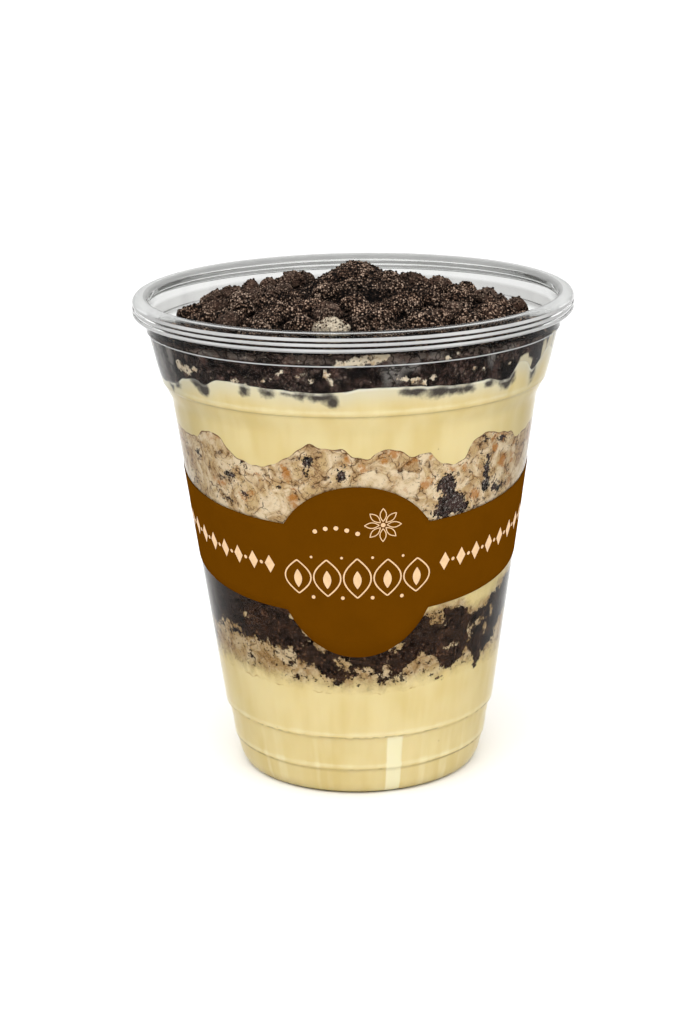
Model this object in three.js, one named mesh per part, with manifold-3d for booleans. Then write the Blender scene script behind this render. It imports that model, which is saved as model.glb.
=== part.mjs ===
import * as THREE from 'three';
import { mergeVertices } from 'three/addons/utils/BufferGeometryUtils.js';
import Module from 'manifold-3d';

// A layered dessert in a clear cup with a rolled rim, and a label wrapped round the cup.
// Millimetres, +Z up. The origin is the middle of the foot, and the label's badge faces -Y.
// Every bearing is in degrees from the front (-Y), positive towards +X.

// The cup
const CUP_SEGMENTS = 52;
const CUP_WALL = 0.6;
const INSIDE_CORNER_HEIGHT = 0.85;
const FOOT = { innerRadius: 19, outerRadius: 26.1, rise: 1.8, risenRadius: 17.4 };
const LOWER_STEP = { foot: [26.9, 0.4], root: [28.04, 2.37], edge: [29.15, 6.45] };
const UPPER_STEP = { root: [29.72, 10.58], edge: [31.05, 14.84] };
const CONE_TOP = [40.96, 87.07];
const COLLAR = [[42.91, 90.63], [44.1, 95], [45.6, 101.9], [46.15, 102.4], [46.2, 105]];
const LIP = { radius: 47.12, height: 108.24, halfWidth: 1.88, halfHeight: 1.5, skirtBottom: 105.6 };
const LIP_ARC_STEPS = { inside: 3, outside: 6 };

// The label: a strip with two arms that meet at a badge
const LABEL = { standOff: 0.25, thickness: 0.3, columns: 60, armEnd: 119, armHeight: 20.2, armMiddle: 55.2 };
const BADGE = { halfWidth: 18.3, halfHeight: 19.9, middle: 54.9 };

// The filling
const FILLING_SEGMENTS = 52;
const CLEARANCE = 0.3;
const CLUMP_CLEARANCE = 0.25;
const CAP_RINGS = [0, 0.6, 1];

// Where one layer meets the next at the wall: crests and dips as [bearing, height]
const CREAM_BASE_TOP = [[-60, 27], [5, 25.6], [45, 27.2], [100, 26], [170, 27.5], [235, 26]];
const SPONGE_LOWER_TOP = [
  [-65, 37], [-55, 38.6], [-45, 37], [-32, 36.8], [-7, 29.4], [3, 31], [12, 29], [25, 34.6], [38, 30],
  [46, 33], [53, 29.6], [75, 37], [100, 34], [130, 37.5], [160, 31.5], [190, 36], [215, 32.5], [250, 38],
  [275, 35.5],
];
const COOKIE_LOWER_TOP = [
  [-70, 50], [-25, 49], [25, 43.6], [38, 44.4], [48, 41], [64, 44.6], [95, 48.5], [130, 46], [170, 50.5],
  [215, 47], [255, 50.5],
];
const CREAM_MIDDLE_TOP = [[-30, 58], [40, 57], [100, 59.5], [145, 56.8], [190, 60], [240, 57.4], [290, 59.5]];
const SPONGE_UPPER_TOP = [
  [-66, 81.5], [-52, 84], [-32, 78.3], [-14, 84.2], [2, 81], [11, 83], [29, 78], [45, 83.8], [62, 80.3],
  [85, 82.5], [110, 79.5], [135, 83], [160, 80], [188, 84], [212, 79], [238, 82.6], [262, 80.4],
];
const CREAM_UPPER_TOP = [
  [-62, 94.5], [-54, 96.4], [-47, 94.6], [-38, 97], [-20, 96.4], [-6, 95], [4, 97.2], [18, 95.2], [40, 96.4],
  [47, 94.4], [54, 98.2], [61, 95.2], [72, 97.6], [95, 96], [120, 98], [150, 95.5], [180, 97.2], [215, 95.2],
  [245, 97.6], [275, 95.8],
];
const FLOOR_ABOVE_CUP = 0.3;

// The cookie heap: its surface from the middle outwards as [distance, height], and the levels near the
// wall and at it, which are lower at the back and sides than at the front
const HEAP_SLOPE = [[0, 114.6], [4, 113.9], [9, 111.7], [14, 110.2], [20, 109], [30, 107.1]];
const HEAP_SHOULDER = { distance: 38, front: 105.8, back: 103.4 };
const HEAP_WALL = { distance: 45, front: 105, back: 101.6 };
const HEAP_LEAN = { drop: 0.06, limit: 25 };
const HEAP_CORE_DROP = 1.2;
const HEAP_SIDE_BEND = 99.5;
const HEAP_RINGS = [0, 0.24, 0.6, 0.86, 1];
const HEAP_CEILING = 125;
const SEED = 4127;

// Clumps that stand out of the heap, as [x, y, width]
const LARGE_CLUMPS = [
  [0, 1, 5], [-12.7, 9, 6.8], [-18.7, 10, 4.6], [-22.9, 8, 5], [-31.1, 4, 4.6], [-27.8, 6, 4.8],
  [-35.6, 0, 3.8], [-25, -2, 6.4], [14, 14, 6.8], [19.3, 14, 5], [23.2, 6, 5.8], [28.7, 4, 4.8],
  [32.5, 3, 3.4], [36.2, 2, 4.2], [29.6, -12, 5.4], [-4.9, -26, 7.4], [-17.8, -20, 6.4], [-33.5, -10, 4.6],
  [10.2, -12, 7.2], [16.2, -26, 6.6],
];
const SMALL_CLUMPS = { count: 58, reach: 42, narrowest: 5, widest: 7.6 };
const EDGE_CLUMPS = { reach: 36, narrowest: 3.6, widest: 4.6 };
const CLUMP_SINK = 0.12;
const CLUMP_FLATTEN = 0.75;
const CLUMP_UNEVEN = 0.18;

const wasm = await Module();
wasm.setup();

function radians(degrees) {
  return THREE.MathUtils.degToRad(degrees);
}

function material(color, roughness, extra = {}) {
  return new THREE.MeshStandardMaterial({ color, roughness, metalness: 0, ...extra });
}

// A seeded draw between 0 and 1, the same on every run.
function makeDraw(seed) {
  let state = seed;
  return () => {
    state = (state * 1664525 + 1013904223) % 4294967296;
    return state / 4294967296;
  };
}

// The y of a broken line of [x, y] points, at one x.
function alongLine(points, x) {
  const next = points.findIndex((point) => point[0] >= x);
  if (next === 0) return points[0][1];
  if (next < 0) return points[points.length - 1][1];
  const [before, after] = [points[next - 1], points[next]];
  return THREE.MathUtils.mapLinear(x, before[0], after[0], before[1], after[1]);
}

// The height of a wavy edge at one bearing: a smooth wave through its crests and dips, closed round the cup.
function alongEdge(crests, bearing) {
  const start = crests[0][0];
  const turned = THREE.MathUtils.euclideanModulo(bearing - start, 360) + start;
  const closed = [...crests, [start + 360, crests[0][1]]];
  const next = closed.findIndex((crest) => crest[0] > turned);
  const [before, after] = [closed[next - 1], closed[next]];
  const ease = (1 - Math.cos(Math.PI * (turned - before[0]) / (after[0] - before[0]))) / 2;
  return THREE.MathUtils.lerp(before[1], after[1], ease);
}

function meanHeight(crests) {
  return crests.reduce((sum, crest) => sum + crest[1], 0) / crests.length;
}

// The meeting surface of two layers: the wave at the wall dies out towards the middle of the cup.
function layerSurface(crests, lift) {
  const middle = meanHeight(crests);
  return (bearing, reach) => middle + (alongEdge(crests, bearing) - middle) * reach ** 2 + lift;
}

// Turns a profile of [radius, height] points about Z.
function turned(profile, segments) {
  const points = profile.map(([radius, height]) => new THREE.Vector2(radius, height));
  return new THREE.LatheGeometry(points, segments).rotateX(Math.PI / 2);
}

// Moves every vertex of a geometry by a function of its position.
function reshape(geometry, move) {
  const position = geometry.attributes.position;
  const vertex = new THREE.Vector3();
  for (let i = 0; i < position.count; i += 1) {
    vertex.fromBufferAttribute(position, i);
    move(vertex);
    position.setXYZ(i, vertex.x, vertex.y, vertex.z);
  }
  return geometry;
}

function polar(vertex, bearing, radius, height) {
  vertex.set(radius * Math.sin(radians(bearing)), -radius * Math.cos(radians(bearing)), height);
}

// An arc of the lip's ellipse, as [radius, height] points.
function lipArc(halfWidth, halfHeight, fromDegrees, toDegrees, steps) {
  return Array.from({ length: steps + 1 }, (_, step) => {
    const turn = radians(THREE.MathUtils.lerp(fromDegrees, toDegrees, step / steps));
    return [LIP.radius + halfWidth * Math.cos(turn), LIP.height + halfHeight * Math.sin(turn)];
  });
}

// The outside of the cup's wall from the foot's corner up to the rim.
function outerWall() {
  const steps = [LOWER_STEP.foot, LOWER_STEP.root, LOWER_STEP.edge, UPPER_STEP.root, UPPER_STEP.edge];
  return [[FOOT.outerRadius, 0], ...steps, CONE_TOP, ...COLLAR];
}

// The inside of the same wall, one wall thickness in, and one up over the foot.
function innerWall() {
  const wall = outerWall().slice(1).map(([radius, height]) => [radius - CUP_WALL, height]);
  wall[0] = [FOOT.outerRadius, INSIDE_CORNER_HEIGHT];
  return [[FOOT.outerRadius - CUP_WALL, CUP_WALL], ...wall];
}

function innerRadius(height) {
  return alongLine(innerWall().map(([radius, level]) => [level, radius]), height);
}

// The cup is one thin sheet: a raised base on a ring foot, two steps, a cone, a collar and a rolled rim
// that curls over and down, open underneath.
function makeCup() {
  const underside = [[0, FOOT.rise], [FOOT.risenRadius, FOOT.rise], [FOOT.innerRadius, 0]];
  const inner = { halfWidth: LIP.halfWidth - CUP_WALL, halfHeight: LIP.halfHeight - CUP_WALL };
  const curlInside = lipArc(inner.halfWidth, inner.halfHeight, 180, 0, LIP_ARC_STEPS.inside);
  const curlOutside = lipArc(LIP.halfWidth, LIP.halfHeight, 0, 180, LIP_ARC_STEPS.outside);
  const skirt = [
    [LIP.radius + inner.halfWidth, LIP.skirtBottom],
    [LIP.radius + LIP.halfWidth, LIP.skirtBottom],
  ];
  const floor = [
    [FOOT.innerRadius, CUP_WALL],
    [FOOT.risenRadius, FOOT.rise + CUP_WALL],
    [0, FOOT.rise + CUP_WALL],
  ];
  const profile = [
    ...underside, ...outerWall(), ...curlInside, ...skirt, ...curlOutside, ...innerWall().reverse(), ...floor,
  ];
  const clear = material(0xf4f6f5, 0.08, { transparent: true, opacity: 0.3 });
  return new THREE.Mesh(turned(profile, CUP_SEGMENTS), clear);
}

// The label's lower and upper edge at one bearing. A straight strip laid on a cone climbs away from the
// front, and the badge is an ellipse on the cup's surface.
function labelEdges(bearing) {
  const [rootRadius, rootHeight] = UPPER_STEP.edge;
  const slope = Math.atan((CONE_TOP[0] - rootRadius) / (CONE_TOP[1] - rootHeight));
  const radius = alongLine(outerWall().map(([r, height]) => [height, r]), BADGE.middle);
  const toApex = radius / Math.sin(slope);
  const climb = (toApex / Math.cos(radians(bearing) * Math.sin(slope)) - toApex) * Math.cos(slope);
  const across = radius * radians(bearing) / BADGE.halfWidth;
  const badge = BADGE.halfHeight * Math.sqrt(Math.max(0, 1 - across ** 2));
  const arm = LABEL.armHeight / 2;
  return [
    Math.min(LABEL.armMiddle + climb - arm, BADGE.middle - badge),
    Math.max(LABEL.armMiddle + climb + arm, BADGE.middle + badge),
  ];
}

// A thin strip bent round the outside of the cone.
function makeLabel() {
  const strip = new THREE.BoxGeometry(2, 1, 1, LABEL.columns, 1, 1);
  const wall = outerWall().map(([radius, height]) => [height, radius]);
  reshape(strip, (vertex) => {
    const bearing = vertex.x * LABEL.armEnd;
    const [lower, upper] = labelEdges(bearing);
    const height = THREE.MathUtils.lerp(lower, upper, vertex.y + 0.5);
    const outward = LABEL.standOff + LABEL.thickness * (vertex.z + 0.5);
    polar(vertex, bearing, alongLine(wall, height) + outward, height);
  });
  return new THREE.Mesh(strip, material(0x6e4102, 0.55));
}

// Splits the quads of a lathe blank's last rows along their other diagonal. The top of one layer then has
// the same triangles as the underside of the next.
function matchUnderside(blank, rows, firstTopRow) {
  const index = blank.index;
  for (let cell = 0; cell < index.count / 6; cell += 1) {
    if (cell % rows < firstTopRow) continue;
    const [a, b, d, c] = [0, 1, 2, 3].map((corner) => index.getX(6 * cell + corner));
    index.array.set([a, b, c, a, c, d], 6 * cell);
  }
  return blank;
}

// A closed solid that fills the cup between two surfaces, as a lathe blank moved into shape. sideLevels
// are the heights between them where the wall bends.
function fillingSolid(lower, upper, { sideLevels = [], bottomRings = CAP_RINGS, topRings = CAP_RINGS } = {}) {
  const top = sideLevels.length + 1;
  const profile = [
    ...bottomRings.map((reach) => [reach, 0]),
    ...sideLevels.map((_, row) => [1, row + 1]),
    ...[...topRings].reverse().map((reach) => [reach, top]),
  ];
  const rows = profile.length - 1;
  const blank = matchUnderside(turned(profile, FILLING_SEGMENTS), rows, rows - topRings.length + 1);
  return reshape(blank, (vertex) => {
    const reach = Math.hypot(vertex.x, vertex.y);
    const bearing = THREE.MathUtils.radToDeg(Math.atan2(vertex.x, -vertex.y));
    const level = Math.round(vertex.z);
    const surface = level === 0 ? lower : upper;
    const height = level === 0 || level === top ? surface(bearing, reach) : sideLevels[level - 1];
    polar(vertex, bearing, reach * (innerRadius(height) - CLEARANCE), height);
  });
}

// A layer between two wavy edges, with half the clearance at each.
function makeLayer(lowerEdge, upperEdge, look, sideLevels = []) {
  const lower = layerSurface(lowerEdge, CLEARANCE / 2);
  const upper = layerSurface(upperEdge, -CLEARANCE / 2);
  return new THREE.Mesh(fillingSolid(lower, upper, { sideLevels }), look);
}

// The lowest cream stands on the cup's raised floor and fills the channel over its ring foot.
function makeCreamBase(look) {
  const channelRadius = innerRadius(CUP_WALL + FLOOR_ABOVE_CUP) - CLEARANCE;
  const risen = FOOT.risenRadius / channelRadius;
  const sunk = (FOOT.innerRadius + CLEARANCE) / channelRadius;
  const bottomRings = [0, risen, sunk, 1];
  const risenLevel = FOOT.rise + CUP_WALL + FLOOR_ABOVE_CUP;
  const lower = (bearing, reach) => (reach > (risen + sunk) / 2 ? CUP_WALL + FLOOR_ABOVE_CUP : risenLevel);
  const upper = layerSurface(CREAM_BASE_TOP, -CLEARANCE / 2);
  const bends = [LOWER_STEP.root, LOWER_STEP.edge, UPPER_STEP.root, UPPER_STEP.edge];
  const sideLevels = bends.map(([, height]) => height);
  return new THREE.Mesh(fillingSolid(lower, upper, { sideLevels, bottomRings }), look);
}

// The heap's surface without its clumps. It leans forward: behind the middle it lies a little lower.
function heapLevel(bearing, distance) {
  const front = ((1 + Math.cos(radians(bearing))) / 2) ** 2;
  const edge = [HEAP_SHOULDER, HEAP_WALL].map((ring) => [
    ring.distance,
    THREE.MathUtils.lerp(ring.back, ring.front, front),
  ]);
  const behind = THREE.MathUtils.clamp(-distance * Math.cos(radians(bearing)), 0, HEAP_LEAN.limit);
  return alongLine([...HEAP_SLOPE, ...edge], distance) - HEAP_LEAN.drop * behind;
}

function closedSolid(geometry) {
  const bare = geometry.clone();
  bare.deleteAttribute('normal');
  bare.deleteAttribute('uv');
  const merged = mergeVertices(bare);
  const corners = [];
  for (let i = 0; i < merged.index.count; i += 3) {
    const [a, b, c] = [0, 1, 2].map((corner) => merged.index.getX(i + corner));
    if (a !== b && b !== c && c !== a) corners.push(a, b, c);
  }
  const vertProperties = new Float32Array(merged.attributes.position.array);
  return new wasm.Manifold(new wasm.Mesh({ numProp: 3, vertProperties, triVerts: new Uint32Array(corners) }));
}

function geometryOf(solid) {
  const mesh = solid.getMesh();
  const geometry = new THREE.BufferGeometry();
  geometry.setAttribute('position', new THREE.BufferAttribute(new Float32Array(mesh.vertProperties), 3));
  geometry.setIndex(new THREE.BufferAttribute(new Uint32Array(mesh.triVerts), 1));
  return geometry;
}

// An uneven round lump with few sides, turned at random and sunk into the heap's surface.
function clump(x, y, width, draw) {
  const geometry = mergeVertices(bareIcosahedron(width / 2));
  reshape(geometry, (vertex) => vertex.multiplyScalar(1 + CLUMP_UNEVEN * (2 * draw() - 1)));
  geometry.rotateZ(2 * Math.PI * draw());
  geometry.scale(1, 1, CLUMP_FLATTEN + (1 - CLUMP_FLATTEN) * draw());
  const bearing = THREE.MathUtils.radToDeg(Math.atan2(x, -y));
  return geometry.translate(x, y, heapLevel(bearing, Math.hypot(x, y)) - CLUMP_SINK * width);
}

function bareIcosahedron(radius) {
  const geometry = new THREE.IcosahedronGeometry(radius);
  geometry.deleteAttribute('normal');
  geometry.deleteAttribute('uv');
  return geometry;
}

// Small clumps are spread evenly over the heap by a sunflower spiral, with only narrow ones by the wall.
function smallClumpPlaces(draw) {
  const goldenTurn = 180 * (3 - Math.sqrt(5));
  const places = [];
  for (let i = 0; i < SMALL_CLUMPS.count; i += 1) {
    const distance = SMALL_CLUMPS.reach * Math.sqrt((i + 0.5) / SMALL_CLUMPS.count);
    const bearing = i * goldenTurn;
    const { narrowest, widest } = distance > EDGE_CLUMPS.reach ? EDGE_CLUMPS : SMALL_CLUMPS;
    const place = new THREE.Vector3();
    polar(place, bearing, distance, 0);
    places.push([place.x, place.y, THREE.MathUtils.lerp(narrowest, widest, draw())]);
  }
  return places;
}

// The inside of the cup as a solid, up past the rim: whatever lies in the cup stays within it.
function cupInside() {
  const wall = innerWall().map(([radius, height]) => [radius - CLUMP_CLEARANCE, height]);
  const rim = [innerRadius(LIP.height) - 2 * CLUMP_CLEARANCE, HEAP_CEILING];
  return closedSolid(turned([[0, CUP_WALL], ...wall, rim, [0, HEAP_CEILING]], FILLING_SEGMENTS));
}

// The cookie layer and the heap over it are one loose mass: a core with the clumps that show fused on.
// Of what joining leaves, the one large body is kept, so a sealed gap is filled and a loose scrap dropped.
function makeCookieHeap(look) {
  const draw = makeDraw(SEED);
  const lower = layerSurface(CREAM_UPPER_TOP, CLEARANCE / 2);
  const upper = (bearing, reach) => heapLevel(bearing, reach * HEAP_WALL.distance) - HEAP_CORE_DROP;
  const core = fillingSolid(lower, upper, { sideLevels: [HEAP_SIDE_BEND], topRings: HEAP_RINGS });
  let heap = closedSolid(core);
  for (const [x, y, width] of [...LARGE_CLUMPS, ...smallClumpPlaces(draw)]) {
    heap = heap.add(closedSolid(clump(x, y, width, draw)));
  }
  const bodies = heap.intersect(cupInside()).decompose();
  const largest = bodies.reduce((most, body) => (body.volume() > most.volume() ? body : most));
  return new THREE.Mesh(geometryOf(largest), look);
}

const cream = () => material(0xe6d198, 0.35);
const sponge = () => material(0xd7c8af, 0.85);
const cookie = () => material(0x2d2724, 0.9);

const parts = {
  cup: makeCup(),
  label: makeLabel(),
  cream_base: makeCreamBase(cream()),
  sponge_lower: makeLayer(CREAM_BASE_TOP, SPONGE_LOWER_TOP, sponge()),
  cookie_lower: makeLayer(SPONGE_LOWER_TOP, COOKIE_LOWER_TOP, cookie()),
  cream_middle: makeLayer(COOKIE_LOWER_TOP, CREAM_MIDDLE_TOP, cream()),
  sponge_upper: makeLayer(CREAM_MIDDLE_TOP, SPONGE_UPPER_TOP, sponge()),
  cream_upper: makeLayer(SPONGE_UPPER_TOP, CREAM_UPPER_TOP, cream(), [CONE_TOP[1], COLLAR[0][1]]),
  cookie_heap: makeCookieHeap(cookie()),
};

const group = new THREE.Group();
for (const [name, mesh] of Object.entries(parts)) {
  mesh.name = name;
  group.add(mesh);
}

export default group;
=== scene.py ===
"""A layered dessert in a clear cup: cream, sponge and dark cookie crumbs, with a crumb heap on top and a
printed label round the cup. Every piece is built round the frame, in metres."""

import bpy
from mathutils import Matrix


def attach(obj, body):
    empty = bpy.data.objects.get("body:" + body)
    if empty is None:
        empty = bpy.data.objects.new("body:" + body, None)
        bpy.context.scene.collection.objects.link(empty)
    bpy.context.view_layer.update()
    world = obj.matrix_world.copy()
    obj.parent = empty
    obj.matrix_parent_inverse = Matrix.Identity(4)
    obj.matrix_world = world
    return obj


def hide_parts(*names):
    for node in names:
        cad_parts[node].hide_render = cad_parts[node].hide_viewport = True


bl_info = {
    "name": "Layered Dessert Cup",
    "version": (1, 0, 0),
    "blender": (4, 5, 0),
    "location": "View3D > Sidebar > Dessert",
    "description": "Builds the cup, label, layers and crumb heap of a layered dessert round its frame",
    "category": "Object",
}

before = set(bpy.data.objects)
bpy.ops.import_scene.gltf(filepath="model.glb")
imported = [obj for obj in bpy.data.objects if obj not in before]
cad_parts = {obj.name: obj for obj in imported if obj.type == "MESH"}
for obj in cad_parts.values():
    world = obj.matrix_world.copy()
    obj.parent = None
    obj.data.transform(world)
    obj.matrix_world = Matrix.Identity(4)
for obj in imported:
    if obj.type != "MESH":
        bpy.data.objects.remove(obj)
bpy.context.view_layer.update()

import math

import bmesh
import bpy
import numpy as np
from bpy.props import FloatProperty, FloatVectorProperty, IntProperty, PointerProperty
from bpy.types import Operator, Panel, PropertyGroup
from mathutils import Matrix, Vector, noise
from mathutils.bvhtree import BVHTree

BODY = "root"
MM = 0.001

# Shapes below are in millimetres, and bearings in degrees from the front (-Y), positive towards +X.

# Outside of the cup from the middle of its underside up, as (radius, height, rounding)
UNDERSIDE = [(0, 1.8, 0), (17.4, 1.8, 0.7), (19, 0, 0.7), (26.9, 0, 1.2)]
STEPS = [
    (28.1, 2.6, 0.9), (28.8, 6.1, 0.2), (28.72, 6.35, 0.1), (29.25, 6.6, 0.15), (29.75, 10.7, 0.8),
    (30.5, 14.3, 0.2), (30.45, 14.6, 0.1), (31.1, 14.9, 0.15),
]
COLLAR = [
    (40.96, 87.07, 1.2), (42.6, 90.3, 0.2), (42.7, 90.55, 0.1), (43.0, 90.8, 0.2), (44.1, 95, 1.2),
    (45.6, 101.7, 0.15), (45.62, 101.86, 0.05), (46.05, 102.0, 0.08), (46.1, 102.26, 0.08),
    (46.2, 105.2, 0.6),
]
# Painted shade lines where the filling is pressed into the steps, and painted shade darkening the foot's
# bottom, as (height, half height, strength)
PAINTED_SHADE_LINES = [(0.1, 1.1, 0.25), (6.35, 0.24, 1.2), (14.6, 0.26, 0.8), (90.6, 0.34, 0.7)]
# Upright painted reflection strips on the foot's bands, as (bearing, half width in degrees, strength)
PAINTED_REFLECTION_STRIPS = [
    (14.9, 3.8, 1.3), (-14, 2.2, 0.2), (-19.5, 1.6, 0.28), (-38, 3.2, 0.3), (-47, 1.8, 0.34),
    (29, 2.4, 0.26), (41, 3.2, 0.3), (52, 1.6, 0.22), (80, 2.4, 0.8), (96, 1.4, 0.4), (123, 2.0, 0.5),
    (150, 2.6, 0.9), (171, 1.4, 0.4), (205, 2.6, 0.9), (219, 1.4, 0.4), (246, 2.0, 0.5), (272, 2.6, 0.8),
]
# Heights that bound the painted reflection strips, and their share over the low band
FOOT_BANDS = {"low": 6.35, "high": 14.3, "high_share": 0.75}
# Soft edge of each painted reflection strip, in degrees
REFLECTION_STRIP_EDGE = 1.1
# The painted highlight just over each painted shade line: its height over the line, its half height and its
# strength
PAINTED_LINE_HIGHLIGHT = {"over": 1.1, "half_height": 0.5, "strength": 0.4}
# The rolled rim: the inside of the curl, then its outside with two grooves, down to the cup's inside
CURL_INSIDE = [
    (45.75, 107.4, 0.7), (46.3, 109.25, 0.6), (48.2, 109.05, 0.7), (48.5, 106.4, 0.4), (48.35, 105.8, 0),
]
CURL_OUTSIDE = [
    (48.7, 105.5, 0.15), (49.0, 105.85, 0.2), (49.0, 106.28, 0.15), (48.68, 106.48, 0.1),
    (48.68, 106.66, 0.08), (49.0, 106.86, 0.15), (49.0, 107.42, 0.2), (48.66, 107.6, 0.08),
    (48.66, 107.76, 0.08), (49.0, 107.96, 0.15), (48.9, 108.7, 0.2), (48.5, 109.3, 0.5),
    (47.3, 109.74, 0.6), (45.9, 109.5, 0.6), (45.24, 108.24, 0.5),
]
MILKY_BEADS = {"inside": 48.58, "groove": 48.9, "groove_from": 105.6, "top": 108.75}
# Heights of the collar's ledge, which takes the milky rim plastic as a painted highlight along its edge
LEDGE_HIGHLIGHT = (101.98, 102.28)
STRAIGHT_CONE = [(31.05, 14.84), (40.96, 87.07)]
# Where the plastic is smoky: between two heights that lean from front to back, inside a radius, and less over
# the curl's foot. Where it is dense seen edge on, with painted shade at its outline, and where the crown of
# the rim turns milky, going backwards
SMOKE = {"from": 101.4, "to": 102.4, "lean": 0.037, "radius": 46.4, "curl": 104.2, "curl_share": 0.6}
DENSE = {"from": 101.5, "to": 103.6, "foot": 10, "body": 60, "foot_share": 0.45, "crown_share": 0.1}
CROWN = {"from": 107.6, "to": 108.6, "milky_from": 108.3, "milky_to": 108.7, "front": -34, "side": -16}

# Where one layer meets the next at the wall: crests and dips as (bearing, height)
CREAM_BASE_TOP = [(-60, 27), (5, 25.6), (45, 27.2), (100, 26), (170, 27.5), (235, 26)]
SPONGE_LOWER_TOP = [
    (-65, 37), (-55, 38.6), (-45, 37), (-32, 36.8), (-7, 29.4), (3, 31), (12, 29), (25, 34.6), (38, 30),
    (46, 33), (53, 29.6), (75, 37), (100, 34), (130, 37.5), (160, 31.5), (190, 36), (215, 32.5), (250, 38),
    (275, 35.5),
]
COOKIE_LOWER_TOP = [
    (-70, 50), (-25, 49), (25, 43.6), (38, 44.4), (48, 41), (64, 44.6), (95, 48.5), (130, 46), (170, 50.5),
    (215, 47), (255, 50.5),
]
CREAM_MIDDLE_TOP = [(-30, 58), (40, 57), (100, 59.5), (145, 56.8), (190, 60), (240, 57.4), (290, 59.5)]
SPONGE_UPPER_TOP = [
    (-66, 81.4), (-60, 81.7), (-54, 83.6), (-50, 84), (-46, 83.2), (-43, 81), (-40, 79.5), (-35, 78.6),
    (-30, 78.3), (-25, 79.5), (-20, 81.5), (-17, 83), (-14, 84.3), (-11, 83.4), (-4, 83.2), (0, 81.3),
    (4, 81), (6, 82), (9, 83), (13, 82.5), (17, 81), (20, 81.2), (23, 81.5), (25, 80), (28, 78.5), (32, 78),
    (36, 79), (38, 81.5), (41, 83), (45, 83.7), (50, 82.8), (57, 82), (62, 80.2), (74, 81.4), (85, 82.5),
    (98, 81.8), (110, 79.5), (128, 82.4), (135, 83), (160, 80), (172, 83.4), (188, 84), (198, 81),
    (212, 79), (238, 82.6), (248, 82.2), (262, 80.4), (280, 82),
]
CREAM_UPPER_TOP = [
    (-74, 92.6), (-66, 93.2), (-61, 93.8), (-56, 95.5), (-50, 96), (-46, 95.4), (-40, 97.1), (-33, 97.1),
    (-28, 96.7), (-20, 96.5), (-10, 96.1), (-4, 96.3), (2, 97.1), (8, 97.2), (15, 97.1), (22, 96.7),
    (32, 96.2), (40, 96.4), (45, 95.4), (48, 95.4), (52, 98.6), (56, 98), (60, 95.6), (65, 97.5),
    (70, 99.4), (76, 98), (95, 96), (120, 98), (134, 96.4), (150, 95.5), (180, 97.2), (196, 96),
    (215, 95.2), (245, 97.6), (262, 96.6), (275, 95),
]
# How far the cream's upper edge swings about its wave
CREAM_UPPER_RAGGED = 0.12

# Patches seen through the wall, as (bearing, height, half width, half height). DARK ones are cookie, PALE
# ones are sponge or cream, STAINS are browned sponge
CREAM_DARK = [
    (-49, 95.6, 2.4, 1.2), (-47, 94.6, 1.8, 1.8), (-31.5, 95.8, 1.2, 1.2), (-24, 95.6, 1.7, 0.9),
    (-19, 96, 1.0, 0.6), (-15, 95.6, 1.2, 0.9), (-9.4, 95.3, 2.6, 1.1), (-5.8, 94.2, 1.0, 1.3),
    (17, 95.9, 3.2, 1.1), (23, 95.5, 2.6, 1.2), (28, 95.2, 2.4, 1.0), (33, 95.3, 1.3, 0.8),
    (40.5, 95.6, 1.4, 0.9), (47.5, 95.4, 2.6, 2.0), (61, 95.8, 1.1, 2.4), (-61, 94, 1.6, 1.2),
    (-66, 93, 1.2, 1.6), (84, 95, 2.4, 1.2), (103, 95.4, 1.2, 1.6), (128, 96, 2.6, 1.2),
    (151, 94.6, 1.8, 1.3), (169, 96, 1.2, 1.0), (196, 95.4, 2.8, 1.2), (221, 94.4, 1.6, 1.4),
    (248, 96.4, 2.2, 1.2), (272, 94.8, 1.8, 1.4),
]
SPONGE_DARK = [
    (30, 73.4, 2.3, 2.6), (32, 69, 3.8, 2.6), (28.5, 67, 2.4, 1.4), (35, 67.4, 3.0, 1.2),
    (46, 75, 1.0, 3.0), (46.4, 71.8, 1.4, 2.0), (-4.4, 77.2, 0.9, 1.2), (-14.6, 80.4, 1.3, 1.3),
    (-15.2, 78, 0.6, 1.1), (-43.5, 75, 1.6, 0.9), (-60, 77.8, 0.6, 0.6), (-38, 78.4, 0.6, 0.5),
    (52, 81.4, 1.8, 0.5), (44.2, 81.6, 0.4, 1.4), (54, 69.6, 1.4, 0.9), (51, 70.4, 0.7, 1.0),
    (-46, 69.4, 1.1, 0.5), (-38.4, 71.2, 0.8, 0.6), (-66, 70.2, 0.9, 0.4), (-25, 74, 0.6, 0.5),
    (92, 74, 1.6, 2.2), (121, 68.4, 2.4, 1.4), (140, 77, 1.0, 2.0), (163, 71, 1.8, 1.0),
    (181, 79, 0.9, 1.6), (199, 67, 2.6, 1.8), (224, 74, 1.2, 2.4), (251, 70, 1.8, 1.0), (277, 76, 1.2, 1.8),
]
SPONGE_STAINS = [
    (-50, 82.6, 2.6, 0.9), (-22, 77.4, 1.0, 2.2), (-37, 71, 2.4, 1.4), (-48, 72.6, 2.2, 1.0),
    (-20, 71, 0.9, 2.2), (11, 82, 2.4, 1.0), (8.4, 80.6, 1.2, 0.8), (22.5, 74.4, 1.3, 1.8),
    (36, 76.6, 2.8, 0.5), (42, 70, 1.6, 1.4), (60, 73, 0.5, 3.0), (54, 76, 1.6, 1.4),
    (-31.5, 76.6, 0.7, 2.0), (2, 79, 0.9, 1.2), (-3, 80.6, 0.7, 1.2), (52, 81.6, 2.6, 0.9),
    (49, 79.8, 1.2, 1.2), (24, 80.4, 1.2, 0.6), (17, 80.2, 1.4, 0.6), (76, 78, 1.6, 2.4),
    (101, 70, 2.4, 1.4), (117, 77, 1.2, 2.0), (133, 70.4, 1.8, 1.2), (152, 78, 1.2, 1.4),
    (174, 68, 2.6, 1.2), (192, 74, 1.0, 2.4), (214, 70, 1.8, 1.4), (236, 78, 1.4, 1.4), (262, 72, 2.0, 1.2),
    (284, 79, 1.2, 1.0),
]
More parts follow.
